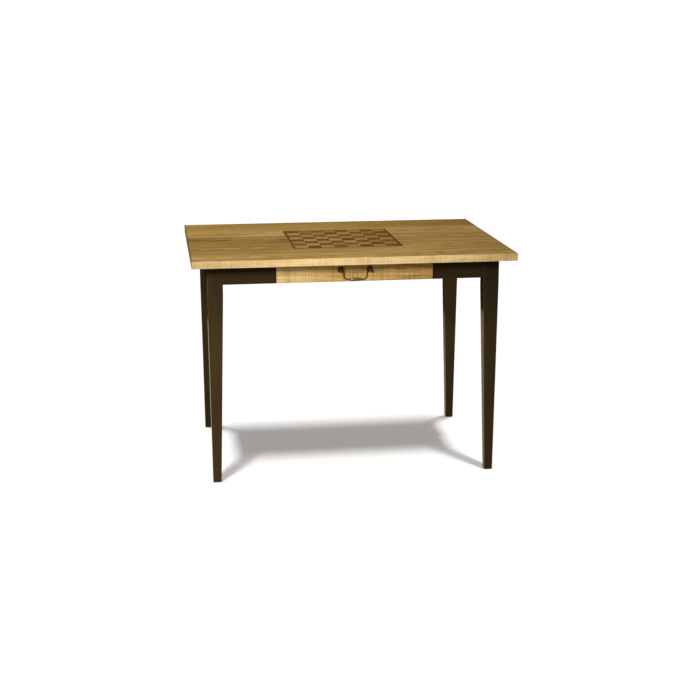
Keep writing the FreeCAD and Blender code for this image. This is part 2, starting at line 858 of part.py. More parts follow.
def make_drawer_bottom():
    """The bottom panel, slid into the grooves from behind and screwed up into the back."""
    body = new_body("bottom")
    lip = "groove_depth - groove_slack"
    panel = rectangle("-panel_half_width", f"-({lip})", "2 * panel_half_width", f"side_length + {lip}")
    prism(body, "Pad", "panel", "XY_Plane", "0", "panel_thickness", panel)
    y = "side_length - back_thickness / 2"
    holes = [circle(across, y, "bolt_hole") for across in PANEL_SCREWS]
    prism(body, "Pocket", "screw_holes", "XY_Plane", "0", "panel_thickness", *holes)
    y_of_front = "-frame_y + front_thickness"
    z = "apron_bottom + side_rise + groove_rise"
    place(body, "0", y_of_front, z)
    keep(body, "drawer_bottom")

    pattern = screw("panel_screw", "panel_thickness + screw_bite", *BOLT)
    places = [{"x": across, "y": f"{y_of_front} + {y}", "z": z} for across in PANEL_SCREWS]
    copies("drawer_bottom_screws", pattern, places)


# ---------------------------------------------------------------- the bail pull


def make_posts():
    """On each side a rosette and a turned post whose ball is bored for the bail's pin."""
    for name, side in SIDES.items():
        where = {"x": f"{side} * handle_centres / 2", "y": "-frame_y", "z": "apron_bottom + handle_rise"}
        rosette = new_body("rosette_" + name)
        rim = "rosette_thickness / 2"
        turned(
            rosette,
            "disc",
            "XY_Plane",
            outline(
                ("bolt_hole", "0"),
                ("rosette_radius", "0"),
                ("rosette_radius", f"-{rim} / 2"),
                (f"rosette_radius - {rim}", "-rosette_thickness"),
                ("bolt_hole", "-rosette_thickness"),
            ),
        )
        place(rosette, **where)
        keep(rosette, "handle_rosette_" + name)

        post = new_body("post_" + name)
        turned(post, "turning", "XY_Plane", post_profile)
        start = "-bore_reach" if side < 0 else "-ball_radius"
        bore = circle("-post_standoff", "0", "wire_bore")
        prism(post, "Pocket", "pin_bore", "YZ_Plane", start, "bore_reach + ball_radius", bore)
        depth = "bolt_bite - rosette_thickness + slide_clearance"
        thread = circle("0", "0", "bolt_hole")
        prism(post, "Pocket", "bolt_bore", "XZ_Plane", f"-rosette_thickness - ({depth})", depth, thread)
        place(post, **where)
        keep(post, "handle_post_" + name)


def post_profile(sketch):
    """Half of a post's section: a flared foot, a neck and a ball, from the rosette outwards."""
    corners = [
        ("0", "-rosette_thickness"),
        ("post_foot_radius", "-rosette_thickness"),
        ("post_neck_radius", "-rosette_thickness - (post_foot_radius - post_neck_radius)"),
        ("post_neck_radius", "-post_standoff + sqrt(ball_radius ^ 2 - post_neck_radius ^ 2)"),
        ("0", "-post_standoff - ball_radius"),
    ]
    spots = [Vector(size(across), size(up), 0) for across, up in corners]
    for spot, following in zip(spots[:3], spots[1:4]):
        sketch.addGeometry(Part.LineSegment(spot, following), False)
    side_of_ball = Vector(size("ball_radius"), -size("post_standoff"), 0)
    sketch.addGeometry(Part.Arc(spots[3], side_of_ball, spots[4]), False)
    sketch.addGeometry(Part.LineSegment(spots[4], spots[0]), False)
    # A Part.Arc runs anticlockwise, so the ball's arc starts at its far pole and ends at the neck.
    joints = [(0, 2, 1, 1), (1, 2, 2, 1), (2, 2, 3, 2), (3, 1, 4, 1), (4, 2, 0, 1)]
    for before, end, after, start in joints:
        sketch.addConstraint(Sketcher.Constraint("Coincident", before, end, after, start))
    for edge, corner in zip((0, 1, 2), corners[:3]):
        fix_point(sketch, edge, 1, *corner)
    fix_point(sketch, 2, 2, *corners[3])
    fix_point(sketch, 4, 1, *corners[4])
    drive(sketch, "Radius", 3, text="ball_radius")


def make_handle_screws():
    """The machine screws that hold the posts, from inside the drawer."""
    pattern = screw("bolt", "front_thickness + bolt_bite", *BOLT)
    places = [
        {"x": f"{side} * handle_centres / 2", "y": "-frame_y + front_thickness",
         "z": "apron_bottom + handle_rise", "points": Vector(0, -1, 0)}
        for side in SIDES.values()
    ]
    copies("handle_screws", pattern, places)


def make_bail():
    """The bail: a bent wire whose ends are the pivot pins, with a swelled grip between two beads."""
    body = new_body("bail")
    path = new_sketch(body, "bail_path", "XZ_Plane")
    bail_path(path)
    section = new_sketch(body, "wire_section", "YZ_Plane", "-pin_x")
    circle("0", "0", "wire_radius")(section)
    wire = body.newObject("PartDesign::AdditivePipe", "wire")
    wire.Profile = section
    wire.Spine = (path, [])
    grip_sketch = new_sketch(body, "grip_sketch", "XZ_Plane")
    grip_profile(grip_sketch)
    grip = body.newObject("PartDesign::Revolution", "grip")
    grip.Profile = grip_sketch
    grip.ReferenceAxis = (grip_sketch, ["Axis0"])
    grip.Angle = 360
    place(body, "0", "-frame_y - post_standoff", "apron_bottom + handle_rise")
    keep(body, "handle_bail")


def bail_path(sketch):
    """The wire's centre line: pin, elbow, arm and corner on the left, straight across, and back up."""
    corners = [
        ("-pin_x", "0"),
        ("-elbow_x", "0"),
        ("-arm_x", "-elbow_radius"),
        ("-arm_x", "-bail_drop + corner_radius"),
        ("-arm_x + corner_radius", "-bail_drop"),
        ("arm_x - corner_radius", "-bail_drop"),
        ("arm_x", "-bail_drop + corner_radius"),
        ("arm_x", "-elbow_radius"),
        ("elbow_x", "0"),
        ("pin_x", "0"),
    ]
    bends = {
        1: ("elbow_radius", "-elbow_x", "-elbow_radius"),
        3: ("corner_radius", "-arm_x + corner_radius", "-bail_drop + corner_radius"),
        5: ("corner_radius", "arm_x - corner_radius", "-bail_drop + corner_radius"),
        7: ("elbow_radius", "elbow_x", "-elbow_radius"),
    }
    spots = [Vector(size(across), size(up), 0) for across, up in corners]
    for index, (spot, following) in enumerate(zip(spots, spots[1:])):
        if index not in bends:
            sketch.addGeometry(Part.LineSegment(spot, following), False)
            continue
        radius, centre_x, centre_y = (size(text) for text in bends[index])
        centre = Vector(centre_x, centre_y, 0)
        outward = ((spot + following) * 0.5 - centre).normalize() * radius
        sketch.addGeometry(Part.Arc(spot, centre + outward, following), False)
    starts = {}
    for index in range(len(spots) - 1):
        edge = sketch.Geometry[index]
        spot = spots[index]
        forward = edge.StartPoint.distanceToPoint(spot) < edge.EndPoint.distanceToPoint(spot)
        starts[index] = (1, 2) if forward else (2, 1)
    for index in range(len(spots) - 2):
        joint = Sketcher.Constraint("Coincident", index, starts[index][1], index + 1, starts[index + 1][0])
        sketch.addConstraint(joint)
    for index, corner in enumerate(corners[:-1]):
        fix_point(sketch, index, starts[index][0], *corner)
    fix_point(sketch, len(corners) - 2, starts[len(corners) - 2][1], *corners[-1])
    for index, (radius, _, _) in bends.items():
        drive(sketch, "Radius", index, text=radius)


def grip_profile(sketch):
    """Half of the grip's section about its own axis, with a construction line on that axis."""
    axis = "-bail_drop"
    core = "wire_radius / 2"
    inner = "grip_half_length - bead_length"
    corners = [
        ("-grip_half_length", axis),
        ("-grip_half_length", f"{axis} + {core}"),
        ("-grip_half_length + bead_length / 3", f"{axis} + grip_bead_radius"),
        (f"-({inner}) - bead_length / 3", f"{axis} + grip_bead_radius"),
        (f"-({inner})", f"{axis} + grip_waist_radius"),
        (inner, f"{axis} + grip_waist_radius"),
        (f"{inner} + bead_length / 3", f"{axis} + grip_bead_radius"),
        ("grip_half_length - bead_length / 3", f"{axis} + grip_bead_radius"),
        ("grip_half_length", f"{axis} + {core}"),
        ("grip_half_length", axis),
    ]
    spots = [Vector(size(across), size(up), 0) for across, up in corners]
    swell = 4
    for index, (spot, following) in enumerate(zip(spots, spots[1:] + spots[:1])):
        if index != swell:
            sketch.addGeometry(Part.LineSegment(spot, following), False)
            continue
        crown = Vector(0, size(f"{axis} + grip_radius"), 0)
        sketch.addGeometry(Part.Arc(spot, crown, following), False)
    for index, corner in enumerate(corners):
        before = (index - 1) % len(corners)
        # the swell's arc runs anticlockwise, from its right end to its left end
        end = 1 if before == swell else 2
        start = 2 if index == swell else 1
        sketch.addConstraint(Sketcher.Constraint("Coincident", before, end, index, start))
        fix_point(sketch, index, start, *corner)
    drive(sketch, "Radius", swell, text=f"(({inner}) ^ 2 + (grip_radius - grip_waist_radius) ^ 2)"
                                        " / (2 * (grip_radius - grip_waist_radius))")
    line = sketch.addGeometry(Part.LineSegment(spots[0], spots[-1]), True)
    sketch.addConstraint(Sketcher.Constraint("Coincident", line, 1, 0, 1))
    sketch.addConstraint(Sketcher.Constraint("Coincident", line, 2, len(corners) - 1, 1))


# ---------------------------------------------------------------- checks and files


def check():
    """Stop if an object failed, a cut or a rounding took nothing off, or a piece isn't valid."""
    cuts = {"PartDesign::Pocket", "PartDesign::Fillet", "PartDesign::Chamfer"}
    for thing in document.Objects:
        if {"Invalid", "Error"} & set(thing.State):
            raise RuntimeError(f"{thing.Label} ({thing.Name}) has failed: {thing.State}")
        if thing.TypeId in cuts and thing.Shape.Volume > thing.BaseFeature.Shape.Volume - 1:
            raise RuntimeError(f"{thing.Name} cuts nothing")
    for piece in nodes:
        if piece.Shape.isNull() or not piece.Shape.isValid():
            raise RuntimeError(f"{piece.Label} is not a valid shape")
        print(f"{piece.Label}: {len(piece.Shape.Solids)} solid(s), {piece.Shape.Volume / 1000:.1f} cm3")


def write_parts():
    """Write each piece to a file of its own."""
    os.makedirs("parts", exist_ok=True)
    for piece in nodes:
        piece.Shape.exportStep(f"parts/{piece.Label}.step")


fill_sheet()
make_top()
make_inlay()
for corner in CORNERS:
    make_leg(corner)
make_aprons()
make_front_rail()
make_runners()
make_braces()
make_buttons()
make_drawer_front()
make_drawer_sides()
make_drawer_back()
make_drawer_bottom()
make_posts()
make_handle_screws()
make_bail()
document.recompute()
check()
write_parts()
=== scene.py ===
"""The looks of a chess table with an inlaid board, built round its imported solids.

Lengths are metres, in the frame of the solids: X to the right, Y to the back and Z up, with the
origin on the floor under the centre of the top. A colour is 0 to 255, as a screen shows it, and
a tint is a linear factor for each of red, green and blue.
"""

import logging
import math
from dataclasses import dataclass, field, replace
from enum import Enum

import bpy
from mathutils import Matrix, Vector


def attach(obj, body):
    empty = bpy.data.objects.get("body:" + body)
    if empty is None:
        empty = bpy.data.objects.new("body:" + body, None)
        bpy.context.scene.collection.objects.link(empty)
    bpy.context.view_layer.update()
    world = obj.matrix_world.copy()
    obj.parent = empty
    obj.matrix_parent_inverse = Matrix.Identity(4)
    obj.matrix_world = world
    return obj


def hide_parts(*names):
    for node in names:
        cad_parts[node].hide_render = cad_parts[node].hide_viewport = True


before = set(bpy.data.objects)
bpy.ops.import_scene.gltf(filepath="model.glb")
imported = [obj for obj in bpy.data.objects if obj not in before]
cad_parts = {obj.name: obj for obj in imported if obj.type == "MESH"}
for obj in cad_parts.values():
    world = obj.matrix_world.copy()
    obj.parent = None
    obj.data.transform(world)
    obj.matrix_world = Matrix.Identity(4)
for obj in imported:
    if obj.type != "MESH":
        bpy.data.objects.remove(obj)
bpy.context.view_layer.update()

TONE_ATTRIBUTE = "tile_tone"

log = logging.getLogger("chess_table")

Socket = bpy.types.NodeSocket
Colour = tuple[float, float, float]
Span = tuple[float, float]
Feed = Socket | float | int | bool | tuple
Feeds = dict[str | int, Feed]

UNSCALED = (1.0, 1.0, 1.0)
ORIGIN = (0.0, 0.0, 0.0)
BOTH_SIDES = (-1.0, 1.0)


class Axis(Enum):
    """The way the grain runs, with the turn that brings it onto X."""

    X = (0.0, 0.0, 0.0)
    Y = (0.0, 0.0, -math.pi / 2)
    Z = (0.0, math.pi / 2, 0.0)


class Link(Enum):
    """Whether a light is linked to the pieces named, or to all but them."""

    INCLUDE = 0
    EXCLUDE = 1


class Tone(Enum):
    """The two tones of the board's squares, as the odd or even sum of row and column."""

    LIGHT = 0
    DARK = 1


class Input(Enum):
    """The kinds of named input that the Geometry Nodes trees take."""

    LENGTH = "NodeSocketFloat"
    COUNT = "NodeSocketInt"


@dataclass(frozen=True)
class Pattern:
    """Fractal noise: its repeats in a metre along the grain, across it and in depth, and how fine it is."""

    repeats: tuple[float, float, float]
    detail: float = 2.0
    rough: float = 0.5
    twist: float = 0.0

    def spaced(self, *steps: float) -> "Pattern":
        """The same pattern with its first repeats a given number of metres apart."""
        return replace(self, repeats=(*(1 / step for step in steps), *self.repeats[len(steps):]))


class Mark(Enum):
    """What shows in wood, paint and metal, each with its pattern."""

    WANDER = Pattern((2.2, 7.0, 7.0))
    STREAKS = Pattern((1.7, 26.0, 26.0), 5.0, 0.62, 0.4)
    PATCHES = Pattern((2.4, 6.5, 6.5))
    BLOTCHES = Pattern((9.0, 48.0, 48.0), 2.0, 0.45, 0.8)
    FIBRES = Pattern((16.0, 620.0, 620.0), 2.0, 0.6)
    PORES = Pattern((38.0, 900.0, 900.0), 1.0)
    UNEVEN_RINGS = Pattern((3.0, 30.0, 30.0))
    SAW_LINES = Pattern((450.0, 5.0, 5.0), 2.0, 0.7)
    SAW_BANDS = Pattern((42.0, 3.0, 3.0), 3.0, 0.6)
    SAW_PLACES = Pattern((7.0, 4.0, 4.0), 1.0)
    KNOT_EDGE = Pattern((60.0, 160.0, 1.0))
    BRUSH_STROKES = Pattern((4.0, 260.0, 260.0), 3.0, 0.6)
    PAINT_CLOUDS = Pattern((5.0, 14.0, 14.0), 3.0)
    PAINT_WEAR = Pattern((9.0, 30.0, 30.0), 4.0, 0.7)
    PAINT_SPECKS = Pattern((700.0, 700.0, 700.0), 1.0)
    SQUARE_STREAKS = Pattern((9.0, 95.0, 95.0), 4.0, 0.62, 0.5)
    SQUARE_FIBRES = Pattern((40.0, 900.0, 900.0))
    PATINA = Pattern((250.0, 250.0, 250.0), 4.0, 0.62)
    PITS = Pattern((1250.0, 1250.0, 1250.0), 2.0, 0.6)


def straightened(part: float) -> float:
    """Take the screen's curve off one part of a colour, from 0 to 1."""
    return part / 12.92 if part <= 0.04045 else ((part + 0.055) / 1.055) ** 2.4


def linear(colour: Colour, share: float = 1.0) -> tuple[float, float, float, float]:
    """Turn a colour into the shader's linear one.

    Args:
        colour: The colour, as a screen shows it.
        share: What its parts are multiplied by first.

    Returns:
        The linear colour, opaque.
    """
    red, green, blue = (straightened(part * share / 255) for part in colour)
    return red, green, blue, 1.0


class Bench:
    """A node tree under construction, with a short method for each kind of node that it uses."""

    def __init__(self, tree: bpy.types.NodeTree) -> None:
        """Take an empty tree."""
        self.tree = tree

    def node(self, kind: str, feeds: Feeds | None = None, **settings: object) -> bpy.types.Node:
        """Add a node.

        Args:
            kind: The node's type name.
            feeds: Input names or numbers, each with a value or the socket to link.
            **settings: Properties of the node itself.

        Returns:
            The new node.
        """
        made = self.tree.nodes.new(kind)
        for name, value in settings.items():
            setattr(made, name, value)
        for name, value in (feeds or {}).items():
            self.feed(made.inputs[name], value)
        return made

    def feed(self, socket: Socket, value: Feed) -> None:
        """Link a socket to another one, or give it a plain value.

        Args:
            socket: The input.
            value: The output to link, or the value.
        """
        if isinstance(value, Socket):
            self.tree.links.new(value, socket)
        else:
            socket.default_value = value

    def sums(self, operation: str, first: Feed, second: Feed = 0.0, third: Feed = 0.0) -> Socket:
        """The result of a Math node."""
        return self.node("ShaderNodeMath", {0: first, 1: second, 2: third}, operation=operation).outputs[0]

    def plus(self, first: Feed, second: Feed) -> Socket:
        """One value and another."""
        return self.sums("ADD", first, second)

    def minus(self, first: Feed, second: Feed) -> Socket:
        """One value less another."""
        return self.sums("SUBTRACT", first, second)

    def times(self, first: Feed, second: Feed) -> Socket:
        """One value times another."""
        return self.sums("MULTIPLY", first, second)

    def greater(self, first: Feed, second: Feed) -> Socket:
        """The greater of two values."""
        return self.sums("MAXIMUM", first, second)

    def unsigned(self, value: Feed) -> Socket:
        """A value without its sign."""
        return self.sums("ABSOLUTE", value)

    def swing(self, base: Feed, value: Feed, amount: float) -> Socket:
        """A base, raised and lowered as a value from 0 to 1 lies above and below a half."""
        return self.sums("MULTIPLY_ADD", self.minus(value, 0.5), amount, base)

    def along(self, vector: Feed, operation: str, other: Feed = ORIGIN) -> Socket:
        """The vector result of a Vector Math node."""
        made = self.node("ShaderNodeVectorMath", {0: vector, 1: other}, operation=operation)
        return made.outputs["Vector"]

    def split(self, vector: Feed) -> tuple[Socket, ...]:
        """The three parts of a vector."""
        return tuple(self.node("ShaderNodeSeparateXYZ", {0: vector}).outputs)

    def join(self, x: Feed, y: Feed, z: Feed) -> Socket:
        """A vector out of its three parts."""
        return self.node("ShaderNodeCombineXYZ", {0: x, 1: y, 2: z}).outputs[0]

    def window(self, value: Feed, span: Span, start: float = 0.0, end: float = 1.0) -> Socket:
        """Ease a value from one range into another, clamped.

        Args:
            value: What is read.
            span: Where the easing starts and ends; it may run downwards.
            start: The result at the span's start.
            end: The result at its end.

        Returns:
            The eased value.
        """
        made = self.node(
            "ShaderNodeMapRange",
            {"Value": value, "From Min": span[0], "From Max": span[1], "To Min": start, "To Max": end},
            interpolation_type="SMOOTHSTEP",
        )
        return made.outputs["Result"]


class Finish(Bench):
    """A material in the making: a Bench with colour nodes, patterns and the surface's shader."""

    def __init__(self, name: str) -> None:
        """Start an empty material with a Principled shader.

        Args:
            name: The material's name.
        """
        self.material = bpy.data.materials.new(name)
        self.material.use_nodes = True
        super().__init__(self.material.node_tree)
        self.tree.nodes.clear()
        self.shader = self.node("ShaderNodeBsdfPrincipled")
        self.node("ShaderNodeOutputMaterial", {"Surface": self.shader.outputs["BSDF"]})
        self.coordinates = self.node("ShaderNodeTexCoord")

    @property
    def place(self) -> Socket:
        """Where a point lies in the table's frame at rest."""
        return self.coordinates.outputs["Object"]

    @property
    def facing(self) -> Socket:
        """Which way a point's face looks, in the table's frame at rest."""
        return self.coordinates.outputs["Normal"]

    def mapped(
        self, vector: Feed, scale: tuple = UNSCALED, shift: tuple = ORIGIN, turn: Axis = Axis.X
    ) -> Socket:
        """Turn, stretch and shift a vector.

        Args:
            vector: What is read.
            scale: The stretch along each axis after the turn.
            shift: What is added last.
            turn: The axis that becomes X.

        Returns:
            The new vector.
        """
        turned = vector
        if turn is not Axis.X:
            turned = self.node("ShaderNodeMapping", {"Vector": vector, "Rotation": turn.value}).outputs[0]
        moved = self.node("ShaderNodeMapping", {"Vector": turned, "Scale": scale, "Location": shift})
        return moved.outputs[0]

    def noise(self, vector: Feed, pattern: Pattern) -> Socket:
        """Fractal noise between 0 and 1.

        Args:
            vector: What is read, with the grain along X.
            pattern: The noise.

        Returns:
            The noise.
        """
        feeds = {
            "Vector": self.mapped(vector, pattern.repeats),
            "Scale": 1.0,
            "Detail": pattern.detail,
            "Roughness": pattern.rough,
            "Distortion": pattern.twist,
        }
        return self.node("ShaderNodeTexNoise", feeds).outputs["Fac"]

    def mark(self, vector: Feed, mark: Mark) -> Socket:
        """The noise of a named mark."""
        return self.noise(vector, mark.value)

    def ramp(self, value: Feed, *stops: tuple[float, Colour]) -> Socket:
        """Colours along a value.

        Args:
            value: What is read, from 0 to 1.
            *stops: Pairs of a position and its colour, in order.

        Returns:
            The linear colour.
        """
        made = self.node("ShaderNodeValToRGB", {0: value})
        elements = made.color_ramp.elements
        for index, (position, colour) in enumerate(stops):
            element = elements[index] if index < 2 else elements.new(position)
            element.position = position
            element.color = linear(colour)
        return made.outputs["Color"]

    def blend(self, share: Feed, under: Feed, over: Feed, mode: str = "MIX") -> Socket:
        """Lay one linear colour over another.

        Args:
            share: How much of the upper colour shows, from 0 to 1.
            under: The lower colour.
            over: The upper colour.
            mode: How they are blended.

        Returns:
            The linear colour.
        """
        made = self.node("ShaderNodeMix", data_type="RGBA", blend_type=mode)
        for socket, value in ((made.inputs[0], share), (made.inputs[6], under), (made.inputs[7], over)):
            self.feed(socket, value)
        return made.outputs[2]

    def tinted(self, share: Feed, colour: Feed, tint: Colour) -> Socket:
        """A linear colour, multiplied by a tint where the share is 1."""
        return self.blend(share, colour, (*tint, 1.0), "MULTIPLY")

    def relief(self, *layers: tuple[Feed, float]) -> None:
        """Raise the surface by several heights, one bump over another.

        Args:
            *layers: Pairs of a height between 0 and 1 and its full depth in metres.
        """
        normal = None
        for height, depth in layers:
            feeds = {"Height": height, "Distance": depth, "Strength": 1.0}
            if normal is not None:
                feeds["Normal"] = normal
            normal = self.node("ShaderNodeBump", feeds).outputs["Normal"]
        self.feed(self.shader.inputs["Normal"], normal)

    def paint(self, colour: Feed, roughness: Feed, **plain: Feed) -> bpy.types.Material:
        """Set the shader.

        Args:
            colour: The base colour.
            roughness: The roughness.
            **plain: Other inputs, with _ for a space in their names.

        Returns:
            The finished material.
        """
        self.feed(self.shader.inputs["Base Color"], colour)
        self.feed(self.shader.inputs["Roughness"], roughness)
        for name, value in plain.items():
            self.feed(self.shader.inputs[name.replace("_", " ")], value)
        return self.material


@dataclass(frozen=True)
class SawnEdge:
    """The sawn edges of the top: paler than its face, marked by the saw, with darker end grain, and painted
    darker towards the left and right ends as painted falloff of light.
    """

    light: Colour = (218, 198, 149)
    dark: Colour = (181, 152, 101)
    tone_span: Span = (0.15, 0.8)
    # Painted falloff of light: the long edges are darkened towards their left and right ends.
    left_falloff_span: Span = (-0.2, -0.5)
    left_falloff_share: float = 0.9
    left_falloff_tint: Colour = (0.78, 0.8, 0.82)
    right_falloff_span: Span = (0.3, 0.46)
    right_falloff_tint: Colour = (0.82, 0.78, 0.66)
    end_grain: float = 0.6
    end_grain_share: float = 0.8
    end_facing: Span = (0.3, 0.7)
    end_span: Span = (0.5265, 0.5335)
    end_share: float = 0.45
    face_facing: Span = (0.85, 0.35)

    def cut(self, finish: Finish, wood: "WoodFinish", colour: Feed, tone: Feed, marks: Feed) -> Socket:
        """Lay the edges' colour over the face's.

        Args:
            finish: The material in the making.
            wood: The plank's wood.
            colour: The face's colour.
            tone: How light the wood is at this point.
            marks: The saw marks.

        Returns:
            The colour of face and edges.
        """
        lengthwise = finish.split(finish.place)[0]
        outward, _, upward = finish.split(finish.facing)
        end_grain = linear(wood.dark, self.end_grain)
        edge = finish.ramp(tone, *zip(self.tone_span, (self.dark, self.light)))
        edge = finish.blend(finish.times(marks, wood.saw), edge, linear(self.dark), "MULTIPLY")
        # Painted falloff of light: darken the edge towards the left end, then towards the right end.
        left = finish.window(lengthwise, self.left_falloff_span, 0.0, self.left_falloff_share)
        edge = finish.tinted(left, edge, self.left_falloff_tint)
        right = finish.window(lengthwise, self.right_falloff_span)
        edge = finish.tinted(right, edge, self.right_falloff_tint)
        end = finish.window(finish.unsigned(outward), self.end_facing)
        edge = finish.blend(finish.times(end, self.end_grain_share), edge, end_grain)
        near_end = finish.window(finish.unsigned(lengthwise), self.end_span, 0.0, self.end_share)
        colour = finish.blend(near_end, colour, end_grain)
        return finish.blend(finish.window(upward, self.face_facing), colour, edge)


@dataclass(frozen=True)
class Knot:
    """A knot in a plank: where its heart lies along and across the grain, and how wide it is."""

    along: float
    across: float
    radius: float
    squeeze: float = 0.45
    reach: float = 5.0
    push: float = 0.9
    rim: Span = (0.9, 0.2)
    strength: float = 0.5

    def spread(self, finish: Finish, board: Feed) -> tuple[Socket, Socket]:
        """How the knot pushes the rings aside, and where its dark heart lies.

        Args:
            finish: The material in the making.
            board: The place, with the grain along X.

        Returns:
            The push in metres and the heart's strength.
        """
        off = finish.along(board, "SUBTRACT", (self.along, self.across, 0.0))
        squeezed = finish.along(off, "MULTIPLY", (self.squeeze, 1.0, 0.0))
        far = finish.node("ShaderNodeVectorMath", {0: squeezed}, operation="LENGTH").outputs["Value"]
        near = finish.window(far, (self.radius * self.reach, 0.0))
        push = finish.times(finish.times(near, finish.split(off)[1]), self.push)
        ragged = finish.mark(board, Mark.KNOT_EDGE)
        rim = finish.sums("MULTIPLY_ADD", ragged, self.radius, finish.minus(far, self.radius * 0.5))
        outer, inner = self.rim
        heart = finish.window(rim, (self.radius * outer, self.radius * inner), 0.0, self.strength)
        return push, heart


@dataclass(frozen=True)
class WoodFinish:
    """Stained or clear wood: growth rings round a pith, streaks, fibres, pores, saw marks and knots, a tone
    that drifts along its length (on the drawer front a painted falloff of light) and a band of painted shade.
    """

    name: str
    dark: Colour
    middle: Colour
    light: Colour
    grain: Axis = Axis.X
    seed: float = 0.0
    seed_step: tuple[float, float, float] = (3.7, 1.3, 2.1)
    pith: Span = (0.0, -0.09)
    ring: float = 0.0045
    ring_rise: Span = (0.25, 0.86)
    ring_fall: Span = (1.0, 0.88)
    ring_uneven: float = 2.2
    ring_depth: float = 0.00006
    taper: float = 0.05
    sway: float = 0.05
    tone_stops: tuple[float, float, float] = (0.08, 0.5, 0.94)
    figure: float = 0.35
    figure_lift: float = 0.35
    streaks: float = 0.6
    streak_tone: float = 2.4
    patch_tone: float = 1.1
    fibre_tone: float = 0.5
    fibre_depth: float = 0.00012
    pore_span: Span = (0.66, 0.74)
    pore_tone: float = 0.35
    blotches: float = 0.0
    # Tone change along the grain per metre; on the drawer front it is a painted falloff of light from left to
    # right.
    drift: float = 0.0
    # A height band painted darker and warmer, as painted shade under the top's overhang.
    painted_shade_band: Span | None = None
    painted_shade_tint: Colour = (0.79, 0.62, 0.41)
    saw: float = 0.0
    saw_spacing: float = 0.0022
    saw_lines: float = 0.65
    saw_line_span: Span = (0.47, 0.72)
    saw_bands: float = 0.45
    saw_band_span: Span = (0.45, 0.75)
    saw_faint: float = 0.35
    saw_faint_span: Span = (0.3, 0.6)
    saw_depth: float = 0.00022
    saw_least: float = 0.1
    knots: tuple[Knot, ...] = ()
    knot_dark: float = 0.45
    edge: SawnEdge | None = None
    roughness: float = 0.5
    gloss_swing: float = 0.16

    def build(self) -> bpy.types.Material:
        """Make the material.

        Returns:
            The material.
        """
        finish = Finish(self.name)
        board = finish.mapped(finish.place, turn=self.grain)
        moved = finish.mapped(board, shift=tuple(self.seed * step for step in self.seed_step))
        sway = finish.swing(0.0, finish.mark(moved, Mark.WANDER), self.sway)
        heart: Feed = 0.0
        for knot in self.knots:
            push, core = knot.spread(finish, board)
            sway = finish.plus(sway, push)
            heart = finish.plus(heart, core)
        rings = self.rings_in(finish, board, moved, sway)
        streaks = finish.mark(moved, Mark.STREAKS)
        fibres = finish.mark(moved, Mark.FIBRES)
        marks = self.saw_marks(finish, moved)
        deep = None
        # Painted shade: the band under the top's overhang.
        if self.painted_shade_band is not None:
            deep = finish.window(finish.split(finish.place)[2], self.painted_shade_band)

        tone = finish.swing(0.5, streaks, self.streaks * self.streak_tone)
        tone = finish.swing(tone, finish.mark(moved, Mark.PATCHES), self.streaks * self.patch_tone)
        tone = finish.sums("MULTIPLY_ADD", rings, -self.figure, tone)
        tone = finish.swing(tone, fibres, self.fibre_tone)
        lengthwise = finish.split(board)[0]
        # The drift, a painted falloff of light on the drawer front, stops inside the painted shade band.
        if deep is not None:
            lengthwise = finish.times(lengthwise, finish.minus(1.0, deep))
        tone = finish.sums("MULTIPLY_ADD", lengthwise, self.drift, tone)
        if self.blotches:
            tone = finish.swing(tone, finish.mark(moved, Mark.BLOTCHES), self.blotches)

        lifted = finish.plus(tone, self.figure * self.figure_lift)
        colour = finish.ramp(lifted, *zip(self.tone_stops, (self.dark, self.middle, self.light)))
        pores = finish.window(finish.mark(moved, Mark.PORES), self.pore_span)
        colour = finish.blend(finish.times(pores, self.pore_tone), colour, linear(self.dark))
        if self.edge is not None:
            colour = self.edge.cut(finish, self, colour, tone, marks)
        elif self.saw:
            colour = finish.blend(finish.times(marks, self.saw), colour, linear(self.dark), "MULTIPLY")
        # Darken the band as painted shade.
        if deep is not None:
            colour = finish.tinted(deep, colour, self.painted_shade_tint)
        if self.knots:
            colour = finish.blend(heart, colour, linear(self.dark, self.knot_dark))

        sawn = (finish.times(marks, -1.0), self.saw_depth * max(self.saw, self.saw_least))
        finish.relief((fibres, self.fibre_depth), (rings, self.ring_depth), sawn)
        gloss = finish.swing(self.roughness, streaks, self.gloss_swing)
        return finish.paint(colour, gloss, Specular_IOR_Level=0.0)

    def rings_in(self, finish: Finish, board: Feed, moved: Feed, sway: Feed) -> Socket:
        """Growth rings: arches on a flat-sawn face and arcs on the end grain.

        Args:
            finish: The material in the making.
            board: The place, with the grain along X.
            moved: The same, shifted by the seed.
            sway: How far the rings wander, in metres.

        Returns:
            How dark the ring is, from 0 to 1.
        """
        along, across, up = finish.split(board)
        across = finish.plus(finish.minus(across, self.pith[0]), sway)
        up = finish.minus(up, self.pith[1])
        radius = finish.sums("SQRT", finish.plus(finish.times(across, across), finish.times(up, up)))
        radius = finish.sums("MULTIPLY_ADD", along, self.taper, radius)
        uneven = finish.mark(moved, Mark.UNEVEN_RINGS)
        radius = finish.sums("MULTIPLY_ADD", uneven, self.ring * self.ring_uneven, radius)
        phase = finish.sums("FRACT", finish.sums("DIVIDE", radius, self.ring))
        return finish.times(finish.window(phase, self.ring_rise), finish.window(phase, self.ring_fall))

    def saw_marks(self, finish: Finish, moved: Feed) -> Socket:
        """Fine lines across the grain that a saw left, uneven in strength.

        Args:
            finish: The material in the making.
            moved: The place, with the grain along X, shifted by the seed.

        Returns:
            How deep the mark is, from 0 to 1.
        """
        teeth = Mark.SAW_LINES.value.spaced(self.saw_spacing)
        lines = finish.window(finish.noise(moved, teeth), self.saw_line_span)
        bands = finish.window(finish.mark(moved, Mark.SAW_BANDS), self.saw_band_span)
        both = finish.sums("MULTIPLY_ADD", bands, self.saw_bands, finish.times(lines, self.saw_lines))
        places = finish.window(finish.mark(moved, Mark.SAW_PLACES), self.saw_faint_span, self.saw_faint, 1.0)
        return finish.times(both, places)


